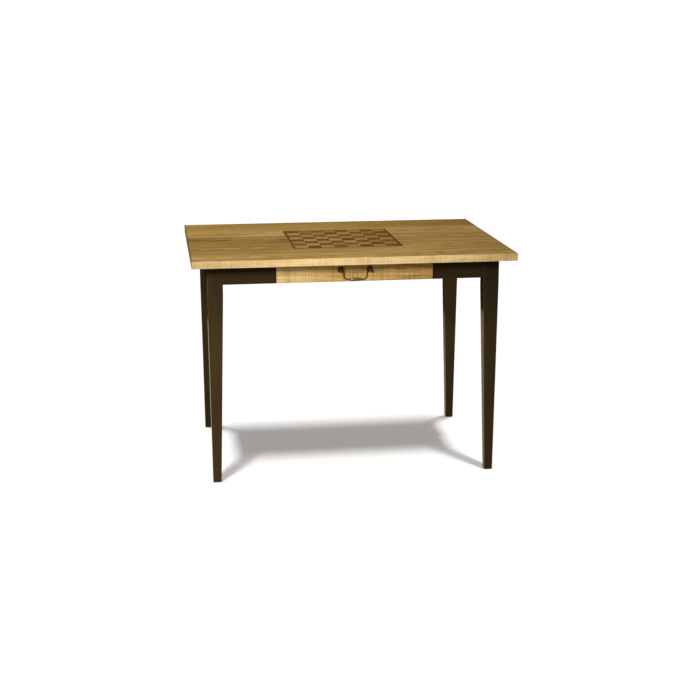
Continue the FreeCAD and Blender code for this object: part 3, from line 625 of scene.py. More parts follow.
@dataclass(frozen=True)
class PaintFinish:
    """Satin paint on wood: brush strokes along the member, rubbed arrises, painted shade under the top, and a
    low sheen cut off above a height as a painted shade line.
    """

    name: str
    grain: Axis
    colour: Colour = (46, 35, 20)
    pale: Colour = (62, 49, 28)
    rubbed: Colour = (104, 77, 42)
    tone_span: Span = (0.3, 0.75)
    seed: float = 0.0
    seed_step: tuple[float, float, float] = (2.9, 5.3, 1.7)
    # Painted shade under the top: the colour is multiplied by this share above a height; where the share is
    # above 1 it is painted light.
    upper: float = 0.6
    painted_light_span: Span = (0.42, 0.7)
    arris_span: Span = (0.12, 0.35)
    wear_span: Span = (0.42, 0.62)
    wear_least: float = 0.2
    wear_swing: float = 0.55
    stroke_depth: float = 0.00012
    speck_depth: float = 0.00002
    roughness: float = 0.34
    roughness_swing: float = 0.14
    sheen: float = 0.75
    sheen_rough: float = 0.3
    sheen_tint: Colour = (255, 240, 196)
    # Height above which the sheen is cut off, a painted shade line where the top's shadow ends on the legs.
    sheen_shade_line: float = 0.56
    sheen_fade: Span = (0.01, -0.02)
    sheen_low: float = 0.1
    sheen_rise: float = 1.4

    def build(self) -> bpy.types.Material:
        """Make the material.

        Returns:
            The material.
        """
        finish = Finish(self.name)
        shift = tuple(self.seed * step for step in self.seed_step)
        moved = finish.mapped(finish.place, shift=shift, turn=self.grain)
        strokes = finish.mark(moved, Mark.BRUSH_STROKES)
        clouds = finish.mark(moved, Mark.PAINT_CLOUDS)
        shade = finish.sums("MULTIPLY_ADD", strokes, 0.5, finish.times(clouds, 0.5))
        colour = finish.ramp(shade, *zip(self.tone_span, (self.colour, self.pale)))
        height = finish.split(finish.place)[2]
        # Painted shade under the top, multiplying the colour above a height (painted light where the share is
        # above 1).
        upper = finish.window(height, self.painted_light_span, 1.0, self.upper)
        colour = finish.blend(1.0, colour, finish.join(upper, upper, upper), "MULTIPLY")

        x, y, z = (finish.unsigned(part) for part in finish.split(finish.facing))
        rounded = finish.greater(finish.times(x, y), finish.times(z, finish.greater(x, y)))
        wear = finish.window(finish.mark(moved, Mark.PAINT_WEAR), self.wear_span)
        wear = finish.sums("MULTIPLY_ADD", wear, self.wear_swing, self.wear_least)
        worn = finish.times(finish.window(rounded, self.arris_span), wear)
        colour = finish.blend(worn, colour, linear(self.rubbed))

        finish.relief((strokes, self.stroke_depth), (finish.mark(moved, Mark.PAINT_SPECKS), self.speck_depth))
        gloss = finish.sums("MULTIPLY_ADD", clouds, self.roughness_swing, self.roughness)
        # The sheen is cut off above a height as a painted shade line, and grows towards the floor.
        above, below = (self.sheen_shade_line + step for step in self.sheen_fade)
        sheen = finish.window(height, (above, below), 0.0, self.sheen)
        lower = finish.window(height, (self.sheen_shade_line, self.sheen_low), 1.0, self.sheen_rise)
        return finish.paint(
            colour,
            gloss,
            Specular_IOR_Level=0.0,
            Sheen_Weight=finish.times(sheen, lower),
            Sheen_Roughness=self.sheen_rough,
            Sheen_Tint=linear(self.sheen_tint),
        )


@dataclass(frozen=True)
class MetalFinish:
    """Cast or plated metal: patina in the hollows, rubbed high spots, fine pitting, and on a grip a painted
    highlight along its upper face that is also hand wear.
    """

    name: str
    deep: Colour
    bright: Colour
    patina: float
    pits_across: int = 5
    tone_span: Span = (0.36, 0.7)
    patina_depth: float = 0.00025
    pit_depth: float = 0.00005
    roughness: Span = (0.48, 0.26)
    roughness_span: Span = (0.35, 0.7)
    # The grip's paler colour: hand wear and a painted highlight.
    rubbed: Colour | None = None
    wear_and_highlight_half: float = 0.0
    wear_and_highlight_facing: tuple[Span, Span] = ((0.0, 0.3), (0.95, 0.7))
    wear_and_highlight_fade: Span = (1.1, 0.85)
    bare_span: Span = (0.25, 0.5)
    bare_least: float = 0.5

    def build(self) -> bpy.types.Material:
        """Make the material.

        Returns:
            The material.
        """
        finish = Finish(self.name)
        patina = finish.noise(finish.place, Mark.PATINA.value.spaced(*[self.patina] * 3))
        pits = finish.noise(finish.place, Mark.PITS.value.spaced(*[self.patina / self.pits_across] * 3))
        colour = finish.ramp(patina, *zip(self.tone_span, (self.deep, self.bright)))
        # Painted highlight and wear: the grip's upward face is painted paler over the rubbed high spots.
        if self.rubbed is not None:
            upward = finish.split(finish.facing)[2]
            reach = finish.unsigned(finish.split(finish.place)[0])
            above, under_top = (finish.window(upward, span) for span in self.wear_and_highlight_facing)
            facing = finish.times(above, under_top)
            outer, inner = (self.wear_and_highlight_half * share for share in self.wear_and_highlight_fade)
            grip = finish.times(finish.window(reach, (outer, inner)), facing)
            bare = finish.times(grip, finish.window(patina, self.bare_span, self.bare_least, 1.0))
            colour = finish.blend(bare, colour, linear(self.rubbed))
        finish.relief((patina, self.patina_depth), (pits, self.pit_depth))
        gloss = finish.window(patina, self.roughness_span, *self.roughness)
        return finish.paint(colour, gloss, Metallic=1.0)


@dataclass(frozen=True)
class SquareFinish:
    """The board's squares: veneer whose streaks and tone change from square to square."""

    name: str
    dark: Colour
    middle: Colour
    light: Colour
    tone_stops: tuple[float, float, float] = (0.1, 0.5, 0.9)
    jump: Span = (37.0, 11.0)
    own_tone: float = 0.5
    streak_tone: float = 1.3
    fibre_tone: float = 0.35
    fibre_depth: float = 0.00008
    streak_depth: float = 0.00005
    roughness: float = 0.4
    roughness_swing: float = 0.12

    def build(self) -> bpy.types.Material:
        """Make the material.

        Returns:
            The material.
        """
        finish = Finish(self.name)
        stored = finish.node("ShaderNodeAttribute", attribute_name=TONE_ATTRIBUTE, attribute_type="GEOMETRY")
        own = stored.outputs["Fac"]
        jump = finish.join(finish.times(own, self.jump[0]), finish.times(own, self.jump[1]), 0.0)
        moved = finish.along(finish.place, "ADD", jump)
        streaks = finish.mark(moved, Mark.SQUARE_STREAKS)
        fibres = finish.mark(moved, Mark.SQUARE_FIBRES)
        tone = finish.swing(0.5, own, self.own_tone)
        tone = finish.swing(tone, streaks, self.streak_tone)
        tone = finish.swing(tone, fibres, self.fibre_tone)
        colour = finish.ramp(tone, *zip(self.tone_stops, (self.dark, self.middle, self.light)))
        finish.relief((fibres, self.fibre_depth), (streaks, self.streak_depth))
        gloss = finish.sums("MULTIPLY_ADD", streaks, self.roughness_swing, self.roughness)
        return finish.paint(colour, gloss, Specular_IOR_Level=0.0)


def dress(names: list[str], material: bpy.types.Material) -> None:
    """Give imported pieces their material, and report each.

    Args:
        names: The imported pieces.
        material: What they are made of.
    """
    for name in names:
        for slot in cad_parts[name].material_slots:
            slot.material = material
        log.info("dressed %s in %s", name, material.name)


class GeometryBench(Bench):
    """A Geometry Nodes tree in the making, with named inputs and one output."""

    def __init__(self, name: str) -> None:
        """Start a tree that takes and gives a geometry.

        Args:
            name: The tree's name.
        """
        super().__init__(bpy.data.node_groups.new(name, "GeometryNodeTree"))
        for way in ("OUTPUT", "INPUT"):
            self.tree.interface.new_socket("Geometry", in_out=way, socket_type="NodeSocketGeometry")
        self.source = self.tree.nodes.new("NodeGroupInput")
        self.identifiers: dict[str, str] = {}

    def settings(self, kind: Input, *names: str) -> list[Socket]:
        """Add named inputs.

        Args:
            kind: What they take.
            *names: What they are called.

        Returns:
            The sockets inside the tree that carry their values.
        """
        for name in names:
            item = self.tree.interface.new_socket(name, in_out="INPUT", socket_type=kind.value)
            self.identifiers[name] = item.identifier
        inside = {socket.identifier: socket for socket in self.source.outputs}
        return [inside[self.identifiers[name]] for name in names]

    def joined(self, *parts: Socket) -> Socket:
        """Several geometries as one.

        Args:
            *parts: The geometries.

        Returns:
            The whole.
        """
        whole = self.node("GeometryNodeJoinGeometry")
        for part in parts:
            self.tree.links.new(part, whole.inputs[0])
        return whole.outputs[0]

    def shifted(self, geometry: Socket, z: Feed) -> Socket:
        """A geometry, moved up or down."""
        move = self.join(0.0, 0.0, z)
        return self.node("GeometryNodeTransform", {"Geometry": geometry, "Translation": move}).outputs[0]

    def swept(self, curve: Socket, sides: int, radius: Feed = 1.0, scale: Feed = 1.0) -> Socket:
        """A closed bar along a curve.

        Args:
            curve: The curve.
            sides: How many sides the bar has.
            radius: Its radius.
            scale: What the radius is multiplied by, point by point.

        Returns:
            The bar.
        """
        ring = self.node("GeometryNodeCurvePrimitiveCircle", {"Resolution": sides, "Radius": radius})
        feeds = {"Curve": curve, "Profile Curve": ring.outputs[0], "Scale": scale, "Fill Caps": True}
        return self.node("GeometryNodeCurveToMesh", feeds).outputs[0]

    def upright(self, low: Feed, high: Feed, points: int) -> tuple[Socket, Socket]:
        """A line along Z, divided evenly.

        Args:
            low: The height of its start.
            high: The height of its end.
            points: How many points it has.

        Returns:
            The line, and how far along it a point lies, from 0 to 1.
        """
        ends = {"Start": self.join(0.0, 0.0, low), "End": self.join(0.0, 0.0, high)}
        line = self.node("GeometryNodeCurvePrimitiveLine", ends)
        fine = self.node("GeometryNodeResampleCurve", {"Curve": line.outputs[0], "Count": points})
        return fine.outputs[0], self.node("GeometryNodeSplineParameter").outputs["Factor"]

    def finish(self, geometry: Feed, material: bpy.types.Material) -> None:
        """End the tree in real, dressed geometry.

        Args:
            geometry: What the tree has made.
            material: What it is made of.
        """
        real = self.node("GeometryNodeRealizeInstances", {0: geometry})
        dressed = self.node("GeometryNodeSetMaterial", {"Geometry": real.outputs[0], "Material": material})
        self.node("NodeGroupOutput", {0: dressed.outputs[0]})

    def grow(
        self, name: str, base: bpy.types.Mesh, values: dict[str, float], body: str, slot: str, node: str
    ) -> None:
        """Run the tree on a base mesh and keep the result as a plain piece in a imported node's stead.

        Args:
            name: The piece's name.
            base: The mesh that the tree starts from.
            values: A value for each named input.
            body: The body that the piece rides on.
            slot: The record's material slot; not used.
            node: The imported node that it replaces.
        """
        seed = bpy.data.objects.new(name + "_seed", base)
        bpy.context.scene.collection.objects.link(seed)
        modifier = seed.modifiers.new(self.tree.name, "NODES")
        modifier.node_group = self.tree
        for label, value in values.items():
            modifier[self.identifiers[label]] = value
        graph = bpy.context.evaluated_depsgraph_get()
        mesh = bpy.data.meshes.new_from_object(seed.evaluated_get(graph))
        mesh.name = name
        seed.modifiers.remove(modifier)
        bpy.data.objects.remove(seed)
        piece = bpy.data.objects.new(name, mesh)
        bpy.context.scene.collection.objects.link(piece)
        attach(piece, body)
        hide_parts(node)
        log.info("made %s: %d faces", name, len(mesh.polygons))


@dataclass
class Tabletop:
    """The five glued planks, their sawn edges and the inlaid board."""

    height: float = 0.762
    square_side: float = 0.0445
    squares_across: int = 8
    glue_line: float = 0.0001
    inlay_thickness: float = 0.005
    ease: float = 0.00025
    weld: float = 1e-6
    parity_slack: float = 0.1
    border_ring: float = 0.003
    knots: tuple[Knot, ...] = (Knot(-0.40, 0.012, 0.010), Knot(-0.27, -0.035, 0.006))
    first_seed: int = 11

    def build(self) -> None:
        """Dress the planks and the border, and build the squares."""
        for number, plank in enumerate(self.planks(), start=1):
            dress([f"top_plank_{number}"], plank.build())
        self.border()
        light = SquareFinish("maple_squares", (133, 100, 53), (155, 122, 72), (176, 144, 92)).build()
        dark = SquareFinish("walnut_squares", (95, 65, 24), (117, 83, 33), (139, 102, 47)).build()
        self.squares(Tone.LIGHT, light)
        self.squares(Tone.DARK, dark)

    def planks(self) -> list[WoodFinish]:
        """Each plank's own wood, front to back.

        Returns:
            The finishes.
        """
        own = {"saw": 0.6, "blotches": 0.5, "edge": SawnEdge()}
        return [
            WoodFinish("maple_plank_1", (131, 98, 50), (168, 134, 76), (192, 159, 99), pith=(-0.33, 0.66),
                       seed=1.0, drift=0.2, **own),
            WoodFinish("maple_plank_2", (132, 99, 51), (164, 129, 73), (186, 152, 92), pith=(-0.16, 0.85),
                       seed=2.0, drift=0.25, **own),
            WoodFinish("maple_plank_3", (111, 80, 40), (156, 120, 67), (182, 147, 89), pith=(0.01, 0.68),
                       seed=3.0, drift=0.35, figure=0.3, knots=self.knots, **own),
            WoodFinish("maple_plank_4", (148, 112, 59), (180, 145, 85), (205, 171, 106), pith=(0.15, 0.86),
                       seed=4.0, **own),
            WoodFinish("maple_plank_5", (133, 97, 47), (170, 133, 70), (197, 160, 89), pith=(0.31, 0.67),
                       seed=5.0, drift=-0.3, figure=0.16, streaks=0.35, **own),
        ]

    def border(self) -> None:
        """Dress the mitred strips, each in the tone of its side."""
        strips = {
            "front": ((79, 50, 17), (100, 67, 26), (119, 82, 34), Axis.X, 6.0),
            "back": ((73, 45, 15), (92, 60, 22), (110, 74, 29), Axis.X, 6.0),
            "left": ((95, 65, 28), (120, 85, 40), (142, 103, 52), Axis.Y, 7.0),
            "right": ((89, 60, 24), (112, 78, 33), (133, 95, 43), Axis.Y, 7.0),
        }
        for side, looks in strips.items():
            wood = WoodFinish(f"walnut_border_{side}", *looks, ring=self.border_ring)
            dress([f"inlay_border_{side}"], wood.build())

    def squares(self, tone: Tone, material: bpy.types.Material) -> None:
        """Build the squares of one tone, eased all round their top.

        Args:
            tone: Which squares.
            material: What they are made of.
        """
        label = tone.name.lower()
        bench = GeometryBench(f"board_{label}")
        lengths = ("Square side", "Glue line", "Thickness", "Ease")
        side, glue, thick, ease = bench.settings(Input.LENGTH, *lengths)
        across, parity, seed = bench.settings(Input.COUNT, "Squares across", "Parity", "Seed")

        span = bench.times(side, bench.minus(across, 1))
        grid = bench.node("GeometryNodeMeshGrid", {0: span, 1: span, 2: across, 3: across})
        points = bench.node("GeometryNodeMeshToPoints", {"Mesh": grid.outputs["Mesh"]})
        index = bench.node("GeometryNodeInputIndex").outputs[0]
        row = bench.sums("FLOOR", bench.sums("DIVIDE", index, across))
        column = bench.sums("MODULO", index, across)
        odd = bench.sums("MODULO", bench.plus(row, column), 2.0)
        other = bench.sums("COMPARE", odd, bench.minus(1.0, parity), self.parity_slack)
        kept = bench.node("GeometryNodeDeleteGeometry", {"Geometry": points.outputs[0], "Selection": other})

        square = self.square(bench, bench.minus(side, glue), thick, ease)
        laid = bench.node("GeometryNodeInstanceOnPoints", {"Points": kept.outputs[0], "Instance": square})
        chance = bench.node("FunctionNodeRandomValue", {"Seed": seed}, data_type="FLOAT")
        toned = bench.node(
            "GeometryNodeStoreNamedAttribute",
            {"Geometry": laid.outputs[0], "Name": TONE_ATTRIBUTE, "Value": chance.outputs[1]},
            data_type="FLOAT",
            domain="INSTANCE",
        )
        bench.finish(toned.outputs[0], material)

        base = bpy.data.meshes.new("board_middle")
        values = {
            "Square side": self.square_side,
            "Glue line": self.glue_line,
            "Thickness": self.inlay_thickness,
            "Ease": self.ease,
            "Squares across": self.squares_across,
            "Parity": tone.value,
            "Seed": self.first_seed + tone.value,
        }
        slot = f"inlay_{label}"
        bench.grow(f"board_{label}_squares", base, values, "table", slot, slot + "_squares")

    def square(self, bench: GeometryBench, width: Feed, thick: Feed, ease: Feed) -> Socket:
        """One square with an eased upper arris.

        Args:
            bench: The tree in the making.
            width: The square's width.
            thick: Its thickness.
            ease: How much its upper arris is eased.

        Returns:
            The square, its top at the table's height.
        """
        low = bench.node("GeometryNodeMeshGrid", {0: width, 1: width, 2: 2, 3: 2}).outputs["Mesh"]
        straight = self.raised(bench, low, True, bench.minus(thick, ease))
        upper = self.raised(bench, straight["Mesh"], straight["Top"], ease)
        share = bench.sums("DIVIDE", bench.minus(width, bench.times(ease, 2.0)), width)
        feeds = {"Geometry": upper["Mesh"], "Selection": upper["Top"], "Scale": share}
        eased = bench.node("GeometryNodeScaleElements", feeds).outputs[0]
        under = bench.node("GeometryNodeFlipFaces", {"Mesh": low}).outputs[0]
        whole = bench.joined(eased, under)
        closed = bench.node("GeometryNodeMergeByDistance", {"Geometry": whole, "Distance": self.weld})
        return bench.shifted(closed.outputs[0], bench.minus(self.height, thick))

    def raised(
        self, bench: GeometryBench, mesh: Socket, faces: Feed, height: Feed
    ) -> bpy.types.bpy_prop_collection:
        """Some faces of a mesh, extruded together.

        Args:
            bench: The tree in the making.
            mesh: The mesh.
            faces: Which faces.
            height: How far.

        Returns:
            The node's outputs: the mesh, and which faces are its new top.
        """
        feeds = {"Mesh": mesh, "Selection": faces, "Offset Scale": height, "Individual": False}
        return bench.node("GeometryNodeExtrudeMesh", feeds).outputs


@dataclass
class Frame:
    """The painted legs and aprons, and the bare wood behind them."""

    # Height of the back legs' sheen cut-off, a painted shade line.
    back_sheen_shade_line: float = 0.42
    # The back right leg: its lower part painted darker and its upper part lighter by this share over this
    # span, as painted light and shade.
    back_right_painted_span: Span = (0.15, 0.48)
    back_right_painted_light: float = 3.2
    bare_ring: float = 0.006
    bare_roughness: float = 0.68

    def build(self) -> None:
        """Dress every piece of the frame."""
        self.legs()
        self.aprons()
        self.bare_wood()

    def legs(self) -> None:
        """Dress the legs in one paint, each in the tone that it has where it stands: the right and back legs
        are painted darker as painted shade, and the back right one lighter above as painted light.
        """
        low = {"sheen_shade_line": self.back_sheen_shade_line}
        lit = {"upper": self.back_right_painted_light, "painted_light_span": self.back_right_painted_span}
        legs = {
            "front_left": ((48, 37, 21), (66, 52, 30), {"seed": 1.0}),
            "front_right": ((41, 31, 18), (56, 44, 26), {"seed": 4.0, "rubbed": (80, 60, 34)}),
            "back_left": ((37, 28, 16), (52, 41, 24), {"seed": 5.0, **low}),
            "back_right": ((36, 28, 15), (47, 38, 22), {"seed": 6.0, **low, **lit}),
        }
        for corner, (colour, pale, own) in legs.items():
            paint = PaintFinish(f"paint_on_{corner}_leg", Axis.Z, colour, pale, **own)
            dress([f"leg_{corner}"], paint.build())

    def aprons(self) -> None:
        """Dress the aprons and the front rail; the right front apron is painted darker as painted falloff of
        light.
        """
        left = PaintFinish("paint_on_left_apron", Axis.X, (46, 36, 20), (62, 50, 28), seed=2.0)
        right = PaintFinish("paint_on_right_apron", Axis.X, (40, 31, 18), (54, 43, 25), seed=7.0)
        sides = PaintFinish("paint_on_side_aprons", Axis.Y, seed=3.0)
        dress(["apron_front_left", "apron_back", "front_rail"], left.build())
        dress(["apron_front_right"], right.build())
        dress(["apron_left", "apron_right"], sides.build())

    def bare_wood(self) -> None:
        """Dress what carries the drawer and holds the corners and the top."""
        bare = {
            "dark": (150, 116, 72),
            "middle": (184, 152, 104),
            "light": (206, 178, 132),
            "ring": self.bare_ring,
            "roughness": self.bare_roughness,
        }
        runners = [f"drawer_{part}_{side}" for part in ("runner", "guide") for side in ("left", "right")]
        braces = [f"corner_brace_{end}_{side}" for end in ("front", "back") for side in ("left", "right")]
        dress(runners, WoodFinish("bare_runner_wood", grain=Axis.Y, seed=8.0, **bare).build())
        dress([*braces, "top_buttons"], WoodFinish("bare_brace_wood", grain=Axis.X, seed=9.0, **bare).build())


@dataclass
class Drawer:
    """The drawer: sawn maple front, dovetailed box and plywood bottom."""

    front_ring: float = 0.013
    front_pith: Span = (-0.35, 0.62)
    # Height band of painted shade under the top's overhang.
    front_painted_shade_band: Span = (0.72, 0.732)
    saw_spacing: float = 0.0037
    bottom_ring: float = 0.012
    bottom_pith: Span = (0.0, 0.5)

    def build(self) -> None:
        """Dress every piece of the drawer."""
        front = WoodFinish(
            "maple_drawer_front",
            (120, 88, 40),
            (168, 135, 80),
            (204, 178, 126),
            seed=10.0,
            pith=self.front_pith,
            ring=self.front_ring,
            figure=0.1,
            streaks=0.3,
            blotches=0.5,
            # Painted falloff of light: the front is lighter at its left end and darker at its right.
            drift=-0.85,
            # Painted shade under the top's overhang, across the front's upper edge.
            painted_shade_band=self.front_painted_shade_band,
            saw=0.75,
            saw_spacing=self.saw_spacing,
            saw_bands=0.2,
            roughness=0.52,
        )
        dress(["drawer_front"], front.build())
        box = {"dark": (158, 124, 78), "middle": (192, 160, 112), "light": (212, 184, 138), "roughness": 0.55}
        sides = WoodFinish("maple_drawer_sides", grain=Axis.Y, seed=12.0, **box)
        dress(["drawer_side_left", "drawer_side_right"], sides.build())
        dress(["drawer_back"], WoodFinish("maple_drawer_back", grain=Axis.X, seed=13.0, **box).build())
        bottom = WoodFinish("drawer_bottom_veneer", (170, 136, 88), (198, 168, 120), (214, 188, 142),
                            seed=14.0, pith=self.bottom_pith, ring=self.bottom_ring)
        dress(["drawer_bottom"], bottom.build())


@dataclass
class BailPull:
    """The dark cast pull: rosettes, ball posts and the swinging bail."""

    patina_size: float = 0.006
    grip_half: float = 0.023

    def build(self) -> None:
        """Dress the pull."""
        iron = MetalFinish("antique_bronze", (38, 25, 13), (92, 66, 38), patina=self.patina_size)
        # The grip's paler upper face is a painted highlight as well as hand wear.
        rubbed = {"rubbed": (126, 116, 78), "wear_and_highlight_half": self.grip_half}
        worn = replace(iron, name="antique_bronze_worn_grip", **rubbed)
        fixed = [f"handle_{part}_{side}" for part in ("rosette", "post") for side in ("left", "right")]
        dress(fixed, iron.build())
        dress(["handle_bail"], worn.build())


@dataclass(frozen=True)
class ScrewSet:
    """Slotted pan-head screws of one size: where their heads sit and which way those look."""

    name: str
    node: str
    body: str
    seats: list[tuple[Vector, Vector]]
    length: float
    seed: int
    shank_radius: float = 0.002
    head_radius: float = 0.004
    head_height: float = 0.0024


@dataclass
class Fastenings:
    """The screws that hold the frame, the top, the drawer's bottom and the pull.

    A thread's and a core's sizes are shares of the shank's length and radius.
    """

    thread_pitch: float = 0.0018
    thread_height: float = 0.2
    thread_inner: float = 0.78
    thread_low: float = -0.87
    thread_rise: float = 0.8
    thread_steps: int = 14
    thread_sides: int = 3
    slot_width: float = 0.0009
    slot_depth: float = 0.0011
    slot_reach: float = 2.4
    dome_power: float = 2.6
    dome_least: float = 0.35
    head_points: int = 9
    head_sides: int = 28
    core: float = 0.74
    tip: float = 0.1
    tip_span: Span = (0.0, 0.16)
    shank_overlap: float = 0.0003
    shank_points: int = 24
    shank_sides: int = 16
    rail_x: tuple[float, ...] = (0.305, 0.3875)
    rail_yz: Span = (-0.286, 0.682)
    brace_heights: tuple[float, ...] = (0.705, 0.722)
    brace_at_long_apron: Span = (0.3855, 0.301)
    brace_at_side_apron: Span = (0.4535, 0.233)
    button_front: Span = (0.294, -0.293)
    button_back: Span = (0.15, 0.293)
    button_side: Span = (0.4455, 0.12)
    button_height: float = 0.721
    panel_x: tuple[float, ...] = (-0.17, 0.0, 0.17)
    panel_yz: Span = (0.113, 0.6963)
    pull_x: float = 0.0485
    pull_yz: Span = (-0.3113, 0.714)

    def sets(self) -> list[ScrewSet]:
        """Every set of screws, with its seats.

        Returns:
            The sets.
        """
        back, down = Vector((0.0, 1.0, 0.0)), Vector((0.0, 0.0, -1.0))
        rail = [(Vector((side * x, *self.rail_yz)), back) for side in BOTH_SIDES for x in self.rail_x]
        brace = []
        for side in BOTH_SIDES:
            for end in BOTH_SIDES:
                for z in self.brace_heights:
                    (long_x, long_y), (side_x, side_y) = self.brace_at_long_apron, self.brace_at_side_apron
                    brace.append((Vector((side * long_x, end * long_y, z)), Vector((0.0, -end, 0.0))))
                    brace.append((Vector((side * side_x, end * side_y, z)), Vector((-side, 0.0, 0.0))))
        buttons = [(side * x, y) for x, y in (self.button_front, self.button_back) for side in BOTH_SIDES]
        x, y = self.button_side
        buttons += [(side * x, end * y) for side in BOTH_SIDES for end in BOTH_SIDES]
        top = [(Vector((*place, self.button_height)), down) for place in buttons]
        panel = [(Vector((x, *self.panel_yz)), down) for x in self.panel_x]
        pull = [(Vector((side * self.pull_x, *self.pull_yz)), back) for side in BOTH_SIDES]
        return [
            ScrewSet("rail_screw_set", "front_rail_screws", "table", rail, length=0.038, seed=1),
            ScrewSet("brace_screw_set", "corner_brace_screws", "table", brace, length=0.023, seed=2),
            ScrewSet("button_screw_set", "top_button_screws", "table", top, length=0.029, seed=3),
            ScrewSet("panel_screw_set", "drawer_bottom_screws", "drawer", panel, length=0.019, seed=4),
            ScrewSet("pull_screw_set", "handle_screws", "drawer", pull, length=0.0267, seed=5,
                     shank_radius=0.00175, head_height=0.002),
        ]

    def build(self) -> None:
        """Drive every set in."""
        steel = MetalFinish("zinc_plated_steel", (96, 97, 96), (176, 174, 168), patina=0.0015).build()
        bench = self.tree(steel)
        for screws in self.sets():
            base = bpy.data.meshes.new(screws.name + "_seats")
            base.from_pydata([place for place, _ in screws.seats], [], [])
            outward = base.attributes.new("outward", "FLOAT_VECTOR", "POINT")
            outward.data.foreach_set("vector", [part for _, facing in screws.seats for part in facing])
            values = {
                "Length": screws.length,
                "Shank radius": screws.shank_radius,
                "Head radius": screws.head_radius,
                "Head height": screws.head_height,
                "Thread pitch": self.thread_pitch,
                "Slot width": self.slot_width,
                "Slot depth": self.slot_depth,
                "Seed": screws.seed,
            }
            bench.grow(screws.name, base, values, screws.body, "screw_steel", screws.node)

    def tree(self, steel: bpy.types.Material) -> GeometryBench:
        """The tree that turns seats into screws.

        Args:
            steel: What the screws are made of.

        Returns:
            The finished tree.
        """
        bench = GeometryBench("slotted_screws")
        length, pitch = bench.settings(Input.LENGTH, "Length", "Thread pitch")
        shank, radius, height = bench.settings(Input.LENGTH, "Shank radius", "Head radius", "Head height")
        width, depth = bench.settings(Input.LENGTH, "Slot width", "Slot depth")
        (seed,) = bench.settings(Input.COUNT, "Seed")

        head = self.head(bench, radius, height, width, depth)
        screw = bench.joined(head, *self.shank(bench, length, shank, pitch))
        points = bench.node("GeometryNodeMeshToPoints", {"Mesh": bench.source.outputs[0]})
        outward = bench.node("GeometryNodeInputNamedAttribute", {"Name": "outward"}, data_type="FLOAT_VECTOR")
        turned = bench.node("FunctionNodeAlignRotationToVector", {"Vector": outward.outputs[0]}, axis="Z")
        feeds = {"Points": points.outputs[0], "Instance": screw, "Rotation": turned.outputs[0]}
        driven = bench.node("GeometryNodeInstanceOnPoints", feeds).outputs[0]
        feeds = {"Min": ORIGIN, "Max": (0.0, 0.0, math.tau), "Seed": seed}
        spin = bench.node("FunctionNodeRandomValue", feeds, data_type="FLOAT_VECTOR").outputs[0]
        feeds = {"Instances": driven, "Rotation": spin, "Local Space": True}
        bench.finish(bench.node("GeometryNodeRotateInstances", feeds).outputs[0], steel)
        return bench

    def head(self, bench: GeometryBench, radius: Feed, height: Feed, width: Feed, depth: Feed) -> Socket:
        """A domed head on its seat, with a slot across it.

        Args:
            bench: The tree in the making.
            radius: The head's radius.
            height: Its height.
            width: The slot's width.
            depth: Its depth.

        Returns:
            The head.
        """
        line, share = bench.upright(0.0, height, self.head_points)
        dome = bench.sums("SQRT", bench.minus(1.0, bench.sums("POWER", share, self.dome_power)))
        wide = bench.times(radius, bench.greater(dome, self.dome_least))
        solid = bench.swept(line, self.head_sides, scale=wide)
        size = bench.join(bench.times(radius, self.slot_reach), width, bench.times(depth, 2.0))
        cutter = bench.shifted(bench.node("GeometryNodeMeshCube", {"Size": size}).outputs[0], height)
        slotted = bench.node("GeometryNodeMeshBoolean", {"Mesh 1": solid}, operation="DIFFERENCE")
        bench.tree.links.new(cutter, slotted.inputs["Mesh 2"])
        return slotted.outputs[0]

    def shank(self, bench: GeometryBench, length: Feed, radius: Feed, pitch: Feed) -> tuple[Socket, Socket]:
        """A core that tapers to a point, and the thread round it.

        Args:
            bench: The tree in the making.
            length: The shank's length.
            radius: The thread's outer radius.
            pitch: The thread's pitch.

        Returns:
            The core and the thread.
        """
        line, share = bench.upright(bench.times(length, -1.0), self.shank_overlap, self.shank_points)
        wide = bench.times(radius, bench.window(share, self.tip_span, self.tip, self.core))
        core = bench.swept(line, self.shank_sides, scale=wide)
        rise = bench.times(length, self.thread_rise)
        inner = bench.times(radius, self.thread_inner)
        feeds = {
            "Resolution": self.thread_steps,
            "Rotations": bench.sums("DIVIDE", rise, pitch),
            "Start Radius": inner,
            "End Radius": inner,
            "Height": rise,
        }
        helix = bench.node("GeometryNodeCurveSpiral", feeds).outputs[0]
        ridge = bench.swept(helix, self.thread_sides, radius=bench.times(radius, self.thread_height))
        return core, bench.shifted(ridge, bench.times(length, self.thread_low))


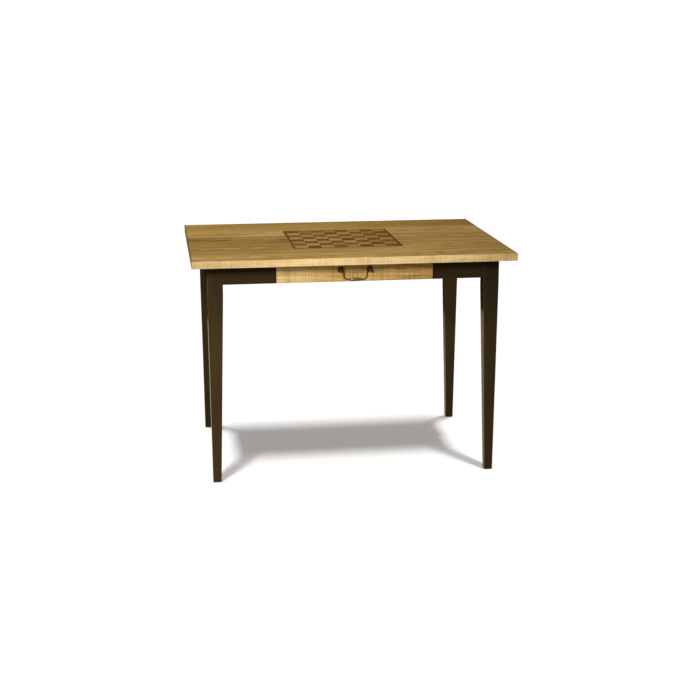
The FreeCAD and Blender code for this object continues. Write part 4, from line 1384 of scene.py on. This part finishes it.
@dataclass
class Studio:
    """The floor, the soft lights and the camera. Turns, spreads and shadow widths are degrees."""

    camera_place: Vector = field(default_factory=lambda: Vector((-0.6519, -4.659, 1.5429)))
    camera_turn: tuple[float, float, float] = (75.876, 0.0, -8.343)
    focal_length: float = 69.92
    sensor_width: float = 36.0
    key_place: Vector = field(default_factory=lambda: Vector((-2.0, -3.4, 2.6)))
    key_aim: Vector = field(default_factory=lambda: Vector((-0.1, 0.1, 0.76)))
    key_power: float = 21.3
    key_size: float = 1.1
    key_spread: float = 48.0
    floor_split: Span = (0.01, 0.065)
    shadow_sides: tuple[Span, ...] = ((0.158, -0.150), (0.158, -0.143))
    shadow_ends: Span = (0.3, -0.096)
    shadow_widths: tuple[Span, ...] = ((3.9, 9.8), (3.9, 12.5))
    shadow_height: float = 0.737
    overhead_far: float = 60.0
    leg_shadow: float = 0.78
    fill: float = 0.25
    base: float = 0.125
    base_tint: Colour = (0.96, 0.945, 1.0)
    floor_colour: float = 0.62
    floor_seen: float = 1.06
    floor_half: float = 18.0
    floor_gap: float = 0.0002

    def build(self) -> None:
        """Set up the whole studio."""
        quarters = self.floor()
        self.camera()
        self.world()
        self.key(quarters)
        self.overhead(quarters)
        bpy.context.scene.view_settings.view_transform = "Standard"

    def level(self, bench: Bench, seen: float, lit: float) -> Socket:
        """One level for a ray from the camera or off something glossy, and another for any other.

        Args:
            bench: The tree in the making.
            seen: The first level.
            lit: The second one, which lights the table.

        Returns:
            The level.
        """
        path = bench.node("ShaderNodeLightPath").outputs
        mirrored = bench.greater(path["Is Glossy Ray"], path["Is Transmission Ray"])
        share = bench.greater(path["Is Camera Ray"], mirrored)
        return bench.sums("MULTIPLY_ADD", share, seen - lit, lit)

    def floor_material(self) -> bpy.types.Material:
        """A matt pale floor with a faint even glow, clear from below.

        Returns:
            The material.
        """
        material = bpy.data.materials.new("studio_floor")
        material.use_nodes = True
        bench = Bench(material.node_tree)
        bench.tree.nodes.clear()
        level = self.level(bench, self.floor_seen, self.floor_colour)
        matt = bench.node("ShaderNodeBsdfDiffuse", {"Color": bench.join(level, level, level)})
        tinted = bench.along(self.base_tint, "SCALE")
        bench.feed(tinted.node.inputs["Scale"], level)
        glow = bench.node("ShaderNodeEmission", {"Color": tinted, "Strength": self.base})
        both = bench.node("ShaderNodeAddShader", {0: matt.outputs[0], 1: glow.outputs[0]})
        below = bench.node("ShaderNodeNewGeometry").outputs["Backfacing"]
        clear = bench.node("ShaderNodeBsdfTransparent")
        one_sided = bench.node("ShaderNodeMixShader", {0: below, 1: both.outputs[0], 2: clear.outputs[0]})
        bench.node("ShaderNodeOutputMaterial", {"Surface": one_sided.outputs[0]})
        return material

    def floor(self) -> list[bpy.types.Object]:
        """Lay the floor in four quarters, each for its own overhead light.

        Returns:
            The quarters: front left, front right, back left, back right.
        """
        material = self.floor_material()
        middle_x, middle_y = self.floor_split
        quarters = []
        for end, far_y in (("front", -self.floor_half), ("back", self.floor_half)):
            for side, far_x in (("left", -self.floor_half), ("right", self.floor_half)):
                left, right = sorted((middle_x, far_x))
                near, far = sorted((middle_y, far_y))
                corners = ((left, near), (right, near), (right, far), (left, far))
                mesh = bpy.data.meshes.new(f"floor_{end}_{side}")
                mesh.from_pydata([(x, y, -self.floor_gap) for x, y in corners], [], [(0, 1, 2, 3)])
                mesh.materials.append(material)
                quarter = bpy.data.objects.new(mesh.name, mesh)
                bpy.context.scene.collection.objects.link(quarter)
                quarters.append(quarter)
        return quarters

    def camera(self) -> None:
        """Stand the camera at eye height in front and a little to the left."""
        data = bpy.data.cameras.new("camera")
        data.lens = self.focal_length
        data.sensor_width = self.sensor_width
        camera = bpy.data.objects.new("camera", data)
        camera.location = self.camera_place
        camera.rotation_euler = [math.radians(angle) for angle in self.camera_turn]
        bpy.context.scene.collection.objects.link(camera)
        bpy.context.scene.camera = camera

    def world(self) -> None:
        """Surround the table with an even fill, seen as white."""
        world = bpy.data.worlds.new("studio")
        world.use_nodes = True
        bpy.context.scene.world = world
        bench = Bench(world.node_tree)
        bench.tree.nodes.clear()
        strength = self.level(bench, self.floor_seen, self.fill)
        sky = bench.node("ShaderNodeBackground", {"Color": (1.0, 1.0, 1.0, 1.0), "Strength": strength})
        bench.node("ShaderNodeOutputWorld", {"Surface": sky.outputs[0]})

    def key(self, quarters: list[bpy.types.Object]) -> None:
        """Hang a soft key light at the front left, for the table alone. The thin bail throws no shadow in it.

        Args:
            quarters: The floor's quarters.
        """
        data = bpy.data.lights.new("key_light", "AREA")
        data.shape = "SQUARE"
        data.size = self.key_size
        data.energy = self.key_power
        data.spread = math.radians(self.key_spread)
        linking = self.lamp(data, self.key_place, self.key_aim).light_linking
        linking.receiver_collection = self.linked("key_light_receivers", quarters, Link.EXCLUDE)
        bail = [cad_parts["handle_bail"]]
        linking.blocker_collection = self.linked("key_light_blockers", bail, Link.EXCLUDE)

    def overhead(self, quarters: list[bpy.types.Object]) -> None:
        """Hang far lights for each quarter of the floor alone, leaning outwards for a compact shadow.

        Part of each quarter's light passes the legs, which softens their shadow.

        Args:
            quarters: The floor's quarters.
        """
        rows = zip(self.shadow_ends, self.shadow_sides, self.shadow_widths)
        leans = [(side, end, widths) for end, sides, widths in rows for side in sides]
        legs = [piece for name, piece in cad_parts.items() if name.startswith("leg_")]
        parts = (("whole", self.leg_shadow, []), ("top", 1.0 - self.leg_shadow, legs))
        for quarter, (side, end, widths) in zip(quarters, leans):
            towards = Vector((-side, -end, self.shadow_height)).normalized()
            power = (1.0 - self.fill - self.base) * math.pi**2 * self.overhead_far**2 / towards.z
            for part, share, passed in parts:
                data = bpy.data.lights.new(quarter.name.replace("floor", f"overhead_{part}"), "AREA")
                data.shape = "ELLIPSE"
                data.size, data.size_y = (self.overhead_far * math.radians(width) for width in widths)
                data.energy = power * share
                linking = self.lamp(data, towards * self.overhead_far, Vector(ORIGIN)).light_linking
                linking.receiver_collection = self.linked(data.name + "_receivers", [quarter], Link.INCLUDE)
                if passed:
                    linking.blocker_collection = self.linked(data.name + "_blockers", passed, Link.EXCLUDE)

    def linked(self, name: str, pieces: list[bpy.types.Object], link: Link) -> bpy.types.Collection:
        """Gather pieces for a light's link.

        Args:
            name: The collection's name.
            pieces: What the link names.
            link: Whether it is for them or for all but them.

        Returns:
            The collection.
        """
        gathered = bpy.data.collections.new(name)
        for number, piece in enumerate(pieces):
            gathered.objects.link(piece)
            gathered.collection_objects[number].light_linking.link_state = link.name
        return gathered

    def lamp(self, data: bpy.types.Light, place: Vector, target: Vector) -> bpy.types.Object:
        """Hang a light and turn it to its target.

        Args:
            data: The light's settings.
            place: Where it hangs.
            target: What it looks at.

        Returns:
            The light.
        """
        light = bpy.data.objects.new(data.name, data)
        light.location = place
        back = (place - target).normalized()
        up = back.cross(Vector((1.0, 0.0, 0.0))).normalized()
        light.rotation_euler = Matrix((up.cross(back), up, back)).transposed().to_euler()
        bpy.context.scene.collection.objects.link(light)
        return light


def main() -> None:
    """Build the table's sub-assemblies in order, then the studio."""
    logging.basicConfig(level=logging.INFO, format="%(name)s: %(message)s")
    for assembly in (Tabletop(), Frame(), Drawer(), BailPull(), Fastenings(), Studio()):
        assembly.build()
        log.info("built %s", type(assembly).__name__)


if __name__ == "__main__":
    main()
